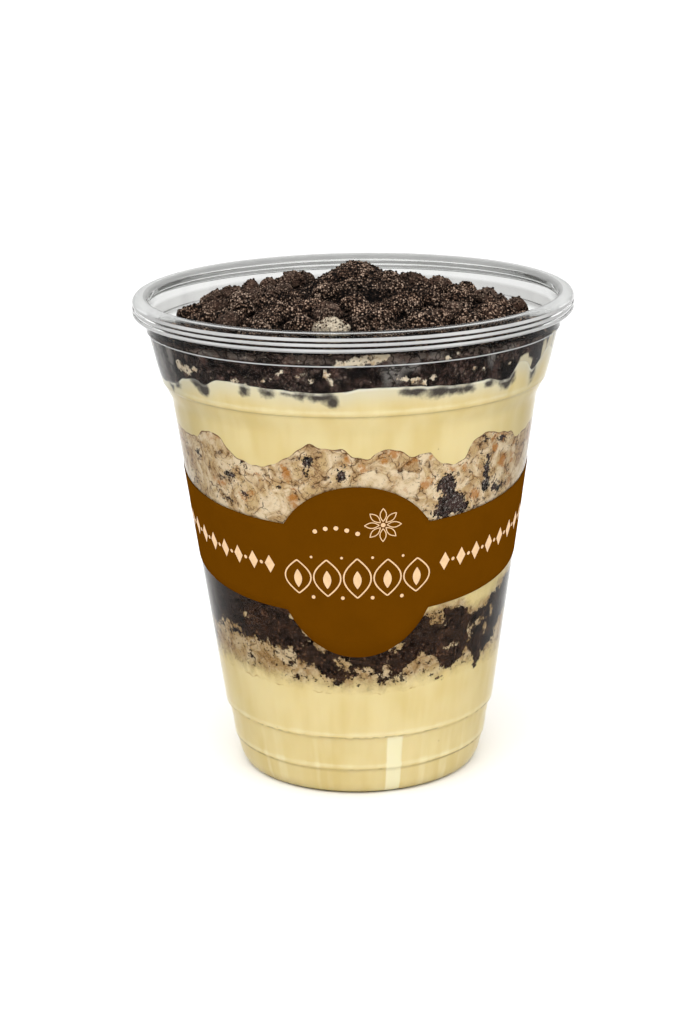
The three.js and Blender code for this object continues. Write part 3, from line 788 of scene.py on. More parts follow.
def cream_colour(graph, settings):
    """Smooth pale cream: soft clouds and upright smears of tint, a few tiny brown specks, and painted shade
    lines and painted highlight strips where the mesh marks them."""
    base = np.array(settings.cream)
    light = tuple(np.minimum(base * (1.03, 1.05, 1.14), 1.0))
    deep = tuple(base * (0.94, 0.91, 0.83))
    clouds = graph.noise(12, detail=2.5, stretch=(1, 1, 0.7))
    smears = graph.noise(4.5, detail=2, stretch=(1, 1, 0.12))
    tint = graph.add(graph.times(clouds, 0.6), graph.times(smears, 0.4))
    colour = graph.mix(graph.ramp(tint, 0.36, 0.64), deep, light)
    specks = graph.ramp(graph.cells(6.5), 0.018, 0.03, 1.0, 0.0)
    colour = graph.mix(graph.times(specks, 0.6), colour, linear(140, 100, 52))
    # Painted highlight: paler where the mesh marks reflection strips on the foot and the light over each
    # shade line
    strip = graph.add(graph.attribute("painted_highlight"), graph.swing(3, 0.15, stretch=(1, 1, 0.2)))
    highlight_colour = tuple(np.minimum(base * (1.2, 1.36, 1.95), 1.0))
    colour = graph.mix(graph.times(graph.ramp(strip, 0.0, 0.9), 0.9), colour, highlight_colour)
    # Painted shade: darker along the lines the mesh marks at the steps and the foot's bottom
    crease = graph.times(graph.attribute("crease"), 0.5)
    return graph.tint(crease, colour, (0.42, 0.36, 0.28))


def cream_finish(graph, colour):
    graph.bump(graph.noise(0.9, detail=3), 0.04, 0.3)
    return graph.finish(
        colour, roughness=0.42, subsurface_weight=0.2, subsurface_radius=(1.0, 0.75, 0.4),
        subsurface_scale=0.0012, ior=1.4, specular_ior_level=0.2,
    )


def cream_material(settings):
    """Plain cream."""
    graph = Graph("cream")
    return cream_finish(graph, cream_colour(graph, settings))


def cream_upper_material(settings):
    """Cream under the crumbs: soft dark crumbs show through where the mesh marks them, and its top edge is
    milky."""
    graph = Graph("cream_under_crumbs")
    colour = cream_colour(graph, settings)
    milky = graph.ramp(graph.attribute("drop"), 0.2, 5.0, 0.85, 0.0)
    colour = graph.mix(milky, colour, linear(228, 220, 192))
    torn = graph.add(graph.attribute("dark"), graph.swing(2.0, 0.6, detail=3))
    colour = graph.mix(graph.times(graph.ramp(torn, -0.75, 0.6), 0.95), colour, linear(46, 38, 40))
    near_top = graph.add(graph.attribute("drop"), graph.swing(1.4, 0.1, detail=3))
    broken = graph.ramp(graph.noise(5.0, detail=3), 0.42, 0.6, 0.15, 0.8)
    skin = graph.times(graph.ramp(near_top, 0.3, 0.85, 1.0, 0.0), broken)
    colour = graph.mix(skin, colour, linear(240, 234, 214))
    shadow = graph.times(graph.ramp(near_top, 0.0, 0.2, 0.8, 0.0), broken)
    colour = graph.mix(shadow, colour, linear(48, 40, 42))
    return cream_finish(graph, colour)


def sponge_colour(graph, settings, veins=1.0):
    """Torn pale sponge: cream-white flesh, tan hollows with painted shade along their creases, thin brown
    veins and fine dark grains.
    """
    base = np.array(settings.sponge)
    light = tuple(np.minimum(base * (1.1, 1.1, 1.12), 1.0))
    tan = tuple(base * (0.8, 0.68, 0.49))
    patches = graph.noise(4.4, detail=6, roughness=0.6, distortion=0.9)
    colour = graph.mix(graph.ramp(patches, 0.39, 0.64), tan, light)
    browned = graph.ramp(graph.noise(3.1, detail=6, roughness=0.68, distortion=1.8), 0.54, 0.7)
    colour = graph.mix(graph.times(browned, 0.4 * veins), colour, tuple(settings.stain))
    crease = graph.cells(7.6, feature="DISTANCE_TO_EDGE", wobble=11.0, wobble_size=3.6)
    broken = graph.ramp(graph.noise(2.0, detail=4, roughness=0.7), 0.42, 0.58)
    # Painted shade: browner along the creases of the tan hollows
    shade = graph.times(graph.ramp(crease, 0.0, 0.2, 1.0, 0.0), graph.ramp(patches, 0.64, 0.42))
    colour = graph.mix(graph.times(shade, 0.5 * veins), colour, linear(150, 106, 66))
    line = graph.times(graph.ramp(crease, 0.0, 0.05, 1.0, 0.0), broken)
    colour = graph.mix(graph.times(line, 0.95 * veins), colour, linear(60, 34, 20))
    small = graph.cells(3.2, feature="DISTANCE_TO_EDGE", wobble=6.0, wobble_size=1.8)
    hair = graph.times(graph.ramp(small, 0.0, 0.07, 1.0, 0.0), graph.ramp(patches, 0.54, 0.42))
    colour = graph.mix(graph.times(hair, 0.7 * veins), colour, linear(104, 70, 44))
    fine = graph.noise(0.55, detail=4, roughness=0.75)
    colour = graph.mix(graph.ramp(fine, 0.55, 0.7, 0.0, 0.5), colour, linear(122, 92, 66))
    return colour, fine


def dark_cookie_colour(graph, settings, cast=(1.0, 1.0, 1.0), grit=1.0):
    """Packed dark cookie seen through plastic: near-black chunks, each with its own tone and painted shade
    towards its edges, with brown grains and pale specks. The cast makes it warmer or greyer, and the grit
    grainier."""
    dark = np.array(settings.cookie) * cast
    # Each chunk has its own tone, and painted shade darkens it towards its edges
    near, tone = graph.grains(2.3, reach=(0.15, 0.8), wobble=2.4, wobble_size=1.2)
    colour = graph.mix(graph.times(near, tone), tuple(dark * 0.12), tuple(dark * 1.25))
    patches = graph.noise(3.4, detail=5, roughness=0.68)
    fine, shade = graph.grains(0.72, reach=(0.12, 0.66), wobble=0.6, wobble_size=0.6)
    lit = graph.times(graph.times(fine, shade), graph.ramp(patches, 0.4, 0.62, 0.12 * grit, grit))
    facing = graph.facing()
    lit = graph.times(lit, graph.ramp(facing, 0.22, 0.5, 1.0, 0.1))
    colour = graph.mix(lit, colour, tuple(dark * (5.2, 5.0, 4.8)))
    rusty = graph.ramp(graph.noise(4.2, detail=4, roughness=0.6), 0.52, 0.68)
    colour = graph.mix(graph.times(rusty, 0.35), colour, tuple(np.array(linear(84, 60, 48)) * cast))
    specks = graph.ramp(graph.noise(1.0, detail=3), 0.68, 0.72)
    specks = graph.times(specks, graph.ramp(facing, 0.22, 0.5, 0.75 * grit, 0.05 * grit))
    return graph.mix(specks, colour, linear(186, 168, 144)), fine


def sponge_material(settings):
    """The upper sponge: stains and dark cookie bits where the mesh marks them, and a brown line along its
    top."""
    graph = Graph("sponge_upper")
    colour, fine = sponge_colour(graph, settings)
    stained = graph.add(graph.attribute("stain"), graph.swing(2.2, 1.9, detail=6, roughness=0.65))
    colour = graph.mix(graph.times(graph.ramp(stained, -0.2, 1.1), 0.8), colour, tuple(settings.stain))
    dark, _ = dark_cookie_colour(graph, settings, (1.0, 1.05, 1.2))
    salt, tone = graph.grains(0.55, reach=(0.1, 0.6))
    salted = graph.times(graph.times(salt, tone), graph.ramp(graph.attribute("dark"), 0.0, 1.0))
    dark = graph.mix(salted, dark, linear(176, 168, 160))
    torn = graph.add(graph.attribute("dark"), graph.swing(1.6, 1.0, detail=5, roughness=0.7))
    torn = graph.add(torn, graph.swing(0.5, 0.5, detail=3))
    colour = graph.mix(graph.ramp(torn, -0.1, 0.15), colour, dark)
    stray = graph.add(graph.times(graph.attribute("dark"), 0.03), graph.noise(0.8, detail=4, roughness=0.6))
    colour = graph.mix(graph.times(graph.ramp(stray, 0.56, 0.6), 0.85), colour, linear(66, 50, 46))
    edge = graph.add(graph.attribute("drop"), graph.swing(0.9, 0.2, detail=4))
    broken = graph.ramp(graph.noise(2.6, detail=3), 0.4, 0.56, 0.1, 0.95)
    line = graph.times(graph.ramp(edge, 0.12, 0.36, 1.0, 0.0), broken)
    colour = graph.mix(line, colour, linear(112, 74, 44))
    graph.bump(fine, 0.2, 0.5)
    return graph.finish(colour, roughness=0.7, specular_ior_level=0.05)


def mixed_material(settings):
    """Sponge and cookie crumbs run into each other, with cream below and above them. The mesh says how deep
    in the cookie a point is, how high over the bottom cream, and how far under the middle cream, in mm."""
    graph = Graph("sponge_and_cookie")
    pale, fine = sponge_colour(graph, settings, 0.7)
    pale = graph.tint(1.0, pale, (0.72, 0.69, 0.62))
    cream = cream_colour(graph, settings)
    drift = graph.swing(2.6, 1.3, detail=5, roughness=0.6)
    to_cream = graph.ramp(graph.add(graph.attribute("rise"), drift), -0.5, 5.0, 1.0, 0.0)
    pale = graph.mix(to_cream, pale, cream)
    height = graph.math("ABSOLUTE", graph.add(graph.attribute("rise"), graph.swing(1.5, 0.4)))
    broken = graph.ramp(graph.noise(4.0, detail=3), 0.52, 0.64)
    line = graph.times(graph.ramp(height, 0.0, 0.35, 1.0, 0.0), broken)
    pale = graph.mix(graph.times(line, 0.6), pale, linear(176, 132, 74))
    over = graph.ramp(graph.add(graph.attribute("over"), drift), 0.0, 3.5)
    pale = graph.mix(over, pale, cream)
    dark, near = dark_cookie_colour(graph, settings, (1.1, 0.96, 0.78))
    level = graph.add(graph.attribute("dark"), graph.swing(3.2, 1.7, detail=6, roughness=0.72))
    level = graph.add(level, graph.swing(0.9, 0.7, detail=4, roughness=0.7))
    colour = graph.mix(graph.ramp(level, -0.12, 0.12), pale, dark)
    stray = graph.add(graph.times(graph.attribute("dark"), 0.02), graph.noise(1.0, detail=4, roughness=0.66))
    stray = graph.add(stray, graph.ramp(graph.attribute("over"), 0.0, 1.5, 0.0, -0.3))
    stray = graph.add(stray, graph.ramp(graph.attribute("rise"), 0.0, 2.5, -0.3, 0.0))
    colour = graph.mix(graph.times(graph.ramp(stray, 0.54, 0.58), 0.92), colour, linear(46, 34, 28))
    colour = painted_side_reflection(graph, colour, 0.6)
    graph.bump(graph.add(fine, near), 0.15, 0.5)
    return graph.finish(colour, roughness=0.7, specular_ior_level=0.02)


def crumb_material(settings):
    """Dark crumbs: sand-like grains, each with its own tone and lighter toward its middle, over gaps of
    near-black painted shade, and painted shade in the crevices. The mesh says how light a clump is, how far a
    point stands out of the crevices, and how smooth it is."""
    graph = Graph("cookie_crumbs")
    # Painted light and shade of the grains: lighter toward each grain's middle, near-black in the gaps
    near, tone = graph.grains(0.5, reach=(0.15, 0.8), wobble=0.3, wobble_size=0.5)
    patches = graph.ramp(graph.noise(4.6, detail=3, roughness=0.6), 0.36, 0.64)
    share = graph.add(graph.times(patches, 0.4), graph.times(graph.attribute("tone"), 0.45))
    lit = graph.times(graph.times(near, graph.ramp(tone, 0.0, 1.0, 0.2, 1.15)), graph.add(share, 0.35))
    colour = graph.mix(graph.ramp(lit, 0.0, 0.4), tuple(settings.dark), tuple(settings.brown))
    colour = graph.mix(graph.ramp(lit, 0.3, 1.0), colour, tuple(settings.light))
    cloud = graph.ramp(graph.noise(1.5, detail=5, roughness=0.65), 0.36, 0.66)
    chunk = graph.mix(cloud, linear(24, 17, 14), linear(88, 68, 58))
    # Painted highlight: light dots on the smooth chunks
    chunk = graph.mix(graph.times(lit, 0.35), chunk, tuple(settings.light))
    colour = graph.mix(graph.attribute("smooth"), colour, chunk)
    warm = graph.ramp(graph.noise(7, detail=2), 0.42, 0.66)
    colour = graph.tint(graph.times(warm, 0.5), colour, (1.0, 0.88, 0.8))
    # Painted shade: near-black where the mesh says a point lies down in the crevices
    crevice_shade = graph.ramp(graph.attribute("shade"), 0.0, 0.9, 0.92, 0.0)
    colour = graph.tint(crevice_shade, colour, (0.05, 0.04, 0.04))
    graph.bump(near, 0.3, 1.0)
    return graph.finish(colour, roughness=0.85, specular_ior_level=0.05)


def collar_material(settings, crumbs):
    """Crumbs pressed against the plastic: dark chunks with dusty grey faces, painted shade in the cracks
    between them, patches of painted grey sheen, painted reflections at its sides, pale bits and smears of
    cream where the mesh marks them."""
    graph = Graph("collar_crumbs")
    colour, near = dark_cookie_colour(graph, settings, (0.92, 0.94, 1.06), 0.35)
    mass = graph.ramp(graph.noise(3.4, detail=5, roughness=0.6, distortion=0.8), 0.36, 0.62, 0.4, 2.3)
    colour = graph.vector("MULTIPLY", colour, mass)
    # Painted shade in the cracks between the chunks
    crack_shade = graph.cells(4.6, feature="DISTANCE_TO_EDGE", wobble=6.0, wobble_size=2.2)
    dusty = graph.ramp(graph.noise(4.0, detail=5, roughness=0.66), 0.5, 0.66)
    grainy, tone = graph.grains(0.6, reach=(0.2, 0.75))
    dust = graph.mix(graph.times(grainy, tone), linear(38, 31, 29), linear(158, 138, 124))
    # Painted sheen: grey patches where the mesh marks them, with the dusty crumbs behind
    haze = graph.add(graph.attribute("haze"), graph.swing(2.4, 1.2, detail=5, stretch=(1, 1, 0.45)))
    colour = graph.mix(graph.times(dusty, 0.55), colour, dust)
    colour = graph.mix(graph.ramp(haze, -0.4, 1.6, 0.0, 0.66), colour, linear(136, 131, 126))
    height = graph.split(graph.place)[2]
    smeared = graph.noise(2.6, detail=5, roughness=0.66, stretch=(1, 1, 2.4))
    over_ledge = graph.ramp(height, 102.1 * MM, 102.7 * MM)
    smeared = graph.times(graph.ramp(smeared, 0.42, 0.64, 0.1, 0.6), over_ledge)
    colour = graph.mix(smeared, colour, linear(122, 108, 98))
    colour = graph.mix(graph.ramp(crack_shade, 0.0, 0.1, 0.85, 0.0), colour, tuple(crumbs.dark))
    torn = graph.add(graph.attribute("pale"), graph.swing(1.5, 0.6, detail=6, roughness=0.72))
    torn = graph.add(torn, graph.swing(0.5, 0.3, detail=3))
    pale, fine = sponge_colour(graph, settings, 0.35)
    pale = graph.mix(0.55, pale, linear(222, 214, 196))
    golden = graph.ramp(graph.noise(1.8, detail=4, roughness=0.6), 0.55, 0.66, 0.0, 0.6)
    pale = graph.mix(golden, pale, linear(176, 136, 84))
    pits = graph.ramp(graph.noise(1.0, detail=4, roughness=0.65), 0.54, 0.6)
    pale = graph.mix(graph.times(pits, 0.85), pale, tuple(settings.cookie))
    colour = graph.mix(graph.ramp(torn, -0.1, 0.12), colour, pale)
    bits = graph.ramp(graph.noise(1.1, detail=4, roughness=0.6), 0.69, 0.72)
    colour = graph.mix(graph.times(bits, 0.8), colour, linear(188, 174, 152))
    smear = graph.add(graph.attribute("creamy"), graph.swing(2.0, 0.5, detail=3, stretch=(1, 1, 0.4)))
    colour = graph.mix(graph.times(graph.ramp(smear, -0.3, 0.4), 0.92), colour, linear(226, 214, 180))
    colour = painted_side_reflection(graph, colour, 0.8)
    graph.bump(near, 0.15, 0.5)
    return graph.finish(colour, roughness=0.6, specular_ior_level=0.03)


def pale_material(settings):
    """Pale sponge crumbs, lighter toward each grain's middle and brown-dark in the gaps as painted light and
    shade, with dark cookie dust in their pits.
    """
    graph = Graph("pale_crumbs")
    pale = np.array(settings.pale)
    # Painted light and shade: lighter toward each grain's middle, dark brown between the grains
    near, tone = graph.grains(0.5, reach=(0.2, 1.0))
    lit = graph.times(near, graph.ramp(tone, 0.0, 0.7, 0.6, 1.0))
    cloud = graph.ramp(graph.noise(1.8, detail=4, roughness=0.6), 0.36, 0.58, 0.5, 1.3)
    lit = graph.times(graph.add(lit, 0.2), cloud)
    colour = graph.mix(lit, tuple(pale * (0.2, 0.165, 0.13)), tuple(pale * 0.78))
    dust = graph.ramp(graph.noise(0.9, detail=5, roughness=0.7), 0.57, 0.62)
    colour = graph.mix(graph.times(dust, 0.85), colour, tuple(settings.dark))
    graph.bump(near, 0.3, 0.8)
    return graph.finish(colour, roughness=0.8, specular_ior_level=0.1)


def floor_material(settings):
    graph = Graph("studio_floor")
    base = np.array(settings.floor)
    cloud = graph.noise(400, detail=2)
    colour = graph.mix(graph.ramp(cloud, 0.3, 0.7), tuple(base * 0.985), tuple(base))
    return graph.finish(colour, roughness=0.8)


# Pieces


def cup_profile(wall):
    """The whole section of the cup's sheet: its outside, the rolled rim, and its inside to the middle."""
    outside = rounded(UNDERSIDE + STEPS + COLLAR + CURL_INSIDE)
    curl = rounded(CURL_OUTSIDE + [(COLLAR[-1][0] - wall, COLLAR[-1][1], 0)])
    inside_points = [(radius - wall, height, rounding) for radius, height, rounding in (STEPS + COLLAR)[::-1]]
    foot_corner = UNDERSIDE[-1]
    floor = [
        (foot_corner[0] - wall, wall, foot_corner[2]),
        (UNDERSIDE[2][0], wall, UNDERSIDE[2][2]),
        (UNDERSIDE[1][0], UNDERSIDE[1][1] + wall, UNDERSIDE[1][2]),
        (0, UNDERSIDE[0][1] + wall, 0),
    ]
    inside = rounded(inside_points + floor)
    return outside + curl[:-1] + inside


def layer_piece(name, lower, upper, settings, cup, floor=None, rings=(0, 0.35, 0.7, 0.9, 1)):
    """A layer of the filling between two edge surfaces, out to just inside the cup's wall. Every vertex gets
    its drop under the upper edge at the wall, in mm."""
    tallest = max(float(np.max(upper(np.arange(360.0), 1.0) - lower(np.arange(360.0), 1.0))), 1.0)
    rows = max(4, round(tallest * MM / settings.row))
    profile = [(ring, 0) for ring in rings]
    profile += [(1, row / rows) for row in range(1, rows)]
    profile += [(ring, 1) for ring in reversed(rings)]
    mesh = to_mesh(name, turned(profile, settings.segments))
    blank = read_points(mesh)
    reach = np.hypot(blank[:, 0], blank[:, 1])
    bearings = bearings_of(blank)
    bottom = lower(bearings, reach)
    top = upper(bearings, reach)
    heights = bottom + (top - bottom) * blank[:, 2]
    inset = (cup.wall - cup.bite) / MM
    points = place(bearings, reach * (outer_radius(heights) - inset), heights)
    if floor is not None:
        sunk = blank[:, 2] < 0.5 / rows
        points[sunk, 2] = floor(np.hypot(points[sunk, 0], points[sunk, 1])) + inset
    write_points(mesh, points)
    mesh.set_sharp_from_angle(angle=math.radians(50))
    set_attribute(mesh, "drop", upper(bearings, 1.0) - points[:, 2])
    paint_crease_shade_and_highlights(mesh)
    return mesh


def paint_crease_shade_and_highlights(mesh):
    """Marks the painted shade lines where the filling is pressed into the cup's steps and along the foot's
    bottom, the painted highlight just over each step line, and painted reflection strips on the foot."""
    points = read_points(mesh)
    heights = points[:, 2]
    outside = np.hypot(points[:, 0], points[:, 1]) > outer_radius(heights) * 0.97
    marks = np.zeros(len(points))
    painted_highlights = np.zeros(len(points))
    fade = np.where(heights < FOOT_BANDS["low"], 1.0, FOOT_BANDS["high_share"])
    fade *= heights < FOOT_BANDS["high"]
    # Painted reflection strips on the foot's bands
    for bearing, half_width, strength in PAINTED_REFLECTION_STRIPS:
        apart = np.abs((bearings_of(points) - bearing + 180) % 360 - 180)
        painted_highlights += strength * np.clip((half_width - apart) / REFLECTION_STRIP_EDGE, 0, 1) * fade
    # Painted shade lines at the steps and the foot's bottom
    for height, half_height, strength in PAINTED_SHADE_LINES:
        marks += strength * np.exp(-(((heights - height) / half_height) ** 2))
        if height > PAINTED_SHADE_LINES[0][0]:
            # Painted highlight just over each step's shade line
            over = (heights - height - PAINTED_LINE_HIGHLIGHT["over"]) / PAINTED_LINE_HIGHLIGHT["half_height"]
            painted_highlights += PAINTED_LINE_HIGHLIGHT["strength"] * np.exp(-(over**2))
    set_attribute(mesh, "crease", marks * outside)
    set_attribute(mesh, "painted_highlight", painted_highlights * outside)


def label_edges(bearings):
    """The label's lower and upper edge. A straight strip laid on a cone climbs away from the front."""
    (low_radius, low_height), (high_radius, high_height) = STRAIGHT_CONE
    slope = math.atan((high_radius - low_radius) / (high_height - low_height))
    radius = float(outer_radius(LABEL_BADGE["middle"]))
    to_apex = radius / math.sin(slope)
    angles = np.radians(bearings)
    climb = (to_apex / np.cos(angles * math.sin(slope)) - to_apex) * math.cos(slope)
    across = radius * angles / LABEL_BADGE["half_width"]
    badge = LABEL_BADGE["half_height"] * np.sqrt(np.clip(1 - across**2, 0, None))
    middle, arm = LABEL_ARM["middle"], LABEL_ARM["half_height"]
    lower = np.minimum(middle + climb - arm, LABEL_BADGE["middle"] - badge)
    upper = np.maximum(middle + climb + arm, LABEL_BADGE["middle"] + badge)
    return lower, upper, middle + climb


class DESSERT_OT_cup(Operator):
    """Build the clear cup with its stepped foot, collar and rolled rim"""
    bl_idname = "dessert.cup"
    bl_label = "Cup"

    def execute(self, context):
        settings = context.scene.dessert.cup
        mesh = to_mesh("clear_cup", turned(cup_profile(settings.wall / MM), settings.segments))
        centres = face_centres(mesh)
        radius, height = np.hypot(centres[:, 0], centres[:, 1]), centres[:, 2]
        beads = (radius > MILKY_BEADS["inside"]) & (height < MILKY_BEADS["top"])
        groove = (radius < MILKY_BEADS["groove"]) & (height > MILKY_BEADS["groove_from"])
        # Painted highlight: the ledge faces take the milky plastic
        ledge_highlight = (height > LEDGE_HIGHLIGHT[0]) & (height < LEDGE_HIGHLIGHT[1])
        materials = (plastic_material(settings), rim_material(settings))
        finished("clear_cup", mesh, materials, "clear_plastic", "cup", second=(beads & ~groove) | ledge_highlight)
        return {"FINISHED"}


class DESSERT_OT_label(Operator):
    """Build the label and the ornament printed on it"""
    bl_idname = "dessert.label"
    bl_label = "Label"

    columns = 476
    rows = 10
    stand_off = 0.03

    def on_cup(self, bearings, heights, outward):
        return place(bearings, outer_radius(heights) + outward, heights)

    def paper(self, settings):
        """A strip bent round the cone, with a real thickness."""
        shape = bmesh.new()
        bmesh.ops.create_grid(shape, x_segments=self.columns, y_segments=self.rows, size=1)
        mesh = to_mesh("label_paper", shape)
        flat = read_points(mesh)
        bearings = flat[:, 0] * LABEL_ARM["end"]
        lower, upper, _ = label_edges(bearings)
        heights = lower + (upper - lower) * (flat[:, 1] + 1) / 2
        write_points(mesh, self.on_cup(bearings, heights, self.stand_off))
        thickened(mesh, settings.thickness / MM)
        return finished("label_paper", mesh, [paper_material(settings)], "label_paper", "label")

    def stamp(self, shape, segments, half_width, half_height, across, up, turn=0.0, line=0.0, pointed=False):
        """Adds one flat mark at (across, up) in mm on the unrolled label: filled, or a closed line."""
        made = list(bmesh.ops.create_circle(shape, cap_ends=True, segments=segments, radius=1)["verts"])
        for vert in made:
            narrow = 1 - abs(vert.co.y) ** 2.2 if pointed else 1
            vert.co.x *= half_width * (0.35 + 0.65 * narrow if pointed else 1)
            vert.co.y *= half_height
        if line:
            face = made[0].link_faces[0]
            inset = bmesh.ops.inset_individual(shape, faces=[face], thickness=line, use_even_offset=True)
            made += {vert for part in inset["faces"] for vert in part.verts}.difference(made)
            bmesh.ops.delete(shape, geom=[face], context="FACES_ONLY")
        move = Matrix.Translation((across, up, 0)) @ Matrix.Rotation(math.radians(turn), 4, "Z")
        bmesh.ops.transform(shape, matrix=move, verts=made)

    def ornament(self, settings):
        """A garland of open leaves on the badge, a flower and beads over it, and lozenges along the arms."""
        shape = bmesh.new()
        for step in range(-2, 3):
            across = step * 6.5
            self.stamp(shape, 40, 3.1, 4.7 - 0.35 * abs(step), across, 53.8, line=0.32, pointed=True)
            self.stamp(shape, 24, 0.9, 2.1, across, 53.4, pointed=True)
        for step in (-1.5, -0.5, 0.5, 1.5):
            self.stamp(shape, 12, 0.42, 0.42, step * 6.5, 49.2)
            self.stamp(shape, 12, 0.3, 0.3, step * 6.5, 58.6)
        for petal in range(8):
            turn = petal * 45
            spoke = Vector((-math.sin(math.radians(turn)), math.cos(math.radians(turn)))) * 2.3
            self.stamp(shape, 20, 0.75, 1.6, 5.4 + spoke.x, 66 + spoke.y, turn, line=0.2, pointed=True)
        self.stamp(shape, 14, 0.5, 0.5, 5.4, 66)
        for step in range(5):
            self.stamp(shape, 12, 0.5, 0.5, -8.6 + 2.2 * step, 64.6 + 0.9 * math.sin(step * 0.9))
        arms = shape.copy()
        arms.clear()
        for side in (-1, 1):
            for step in range(12):
                self.stamp(arms, 4, 1.25, 2.1, side * (19.6 + 4.3 * step), 0)
                self.stamp(arms, 10, 0.42, 0.42, side * (21.75 + 4.3 * step), 0)
        for name, marks, lift in (("label_badge_ornament", shape, 0.0), ("label_arm_ornament", arms, 1.0)):
            bmesh.ops.triangulate(marks, faces=marks.faces)
            mesh = to_mesh(name, marks)
            flat = read_points(mesh)
            bearings = np.degrees(flat[:, 0] / outer_radius(LABEL_BADGE["middle"]))
            heights = flat[:, 1] + lift * label_edges(bearings)[2]
            outward = self.stand_off + settings.thickness / MM + 0.02
            write_points(mesh, self.on_cup(bearings, heights, outward))
            thickened(mesh, settings.ink_thickness / MM)
            finished(name, mesh, [ink_material(settings)], "label_paper", "label", smooth=False)

    def execute(self, context):
        settings = context.scene.dessert.label
        self.paper(settings)
        self.ornament(settings)
        return {"FINISHED"}


class DESSERT_OT_layers(Operator):
    """Build the cream, sponge and cookie layers in the cup"""
    bl_idname = "dessert.layers"
    bl_label = "Layers"

    def execute(self, context):
        settings = context.scene.dessert.filling
        cup = context.scene.dessert.cup
        edges = {
            "floor": lambda bearings, reach: 0.0 * bearings,
            "cream_base": edge_surface(CREAM_BASE_TOP, 0.5, 1),
            "sponge_lower": edge_surface(SPONGE_LOWER_TOP, 0.9, 2),
            "cookie_lower": edge_surface(COOKIE_LOWER_TOP, 0.7, 3),
            "cream_middle": edge_surface(CREAM_MIDDLE_TOP, 0.5, 4),
            "sponge_upper": edge_surface(SPONGE_UPPER_TOP, 0.35, 5),
            "cream_upper": edge_surface(CREAM_UPPER_TOP, CREAM_UPPER_RAGGED, 6),
        }

        def make(name, below, material, slot, **options):
            mesh = layer_piece(name, edges[below], edges[name], settings, cup, **options)
            points = read_points(mesh)
            bearings = bearings_of(points)
            if name == "sponge_upper":
                set_attribute(mesh, "dark", patch_depth(points, SPONGE_DARK))
                set_attribute(mesh, "stain", patch_depth(points, SPONGE_STAINS))
            elif name == "cream_upper":
                set_attribute(mesh, "dark", patch_depth(points, CREAM_DARK))
            elif name != "cream_base":
                over = points[:, 2] - edges["sponge_lower"](bearings, 1.0)
                under = edges["cookie_lower"](bearings, 1.0) - points[:, 2]
                dark = np.maximum(np.minimum(over, under), patch_depth(points, LOWER_DARK))
                set_attribute(mesh, "dark", np.minimum(dark, -patch_depth(points, LOWER_PALE)))
                set_attribute(mesh, "rise", points[:, 2] - edges["cream_base"](bearings, 1.0))
                set_attribute(mesh, "over", -under)
            finished(name + "_fill", mesh, [material], slot, name)

        def underside(radius):
            return np.interp(radius, [point[0] for point in UNDERSIDE], [point[1] for point in UNDERSIDE])

        base_rings = (0, 0.4, 0.62, 0.655, 0.70, 0.73, 0.9, 1)
        cream, mixed = cream_material(settings), mixed_material(settings)
        make("cream_base", "floor", cream, "cream", floor=underside, rings=base_rings)
        make("sponge_lower", "cream_base", mixed, "sponge")
        make("cookie_lower", "sponge_lower", mixed, "cookie")
        make("cream_middle", "cookie_lower", mixed, "cream")
        make("sponge_upper", "cream_middle", sponge_material(settings), "sponge")
        make("cream_upper", "sponge_upper", cream_upper_material(settings), "cream")
        return {"FINISHED"}


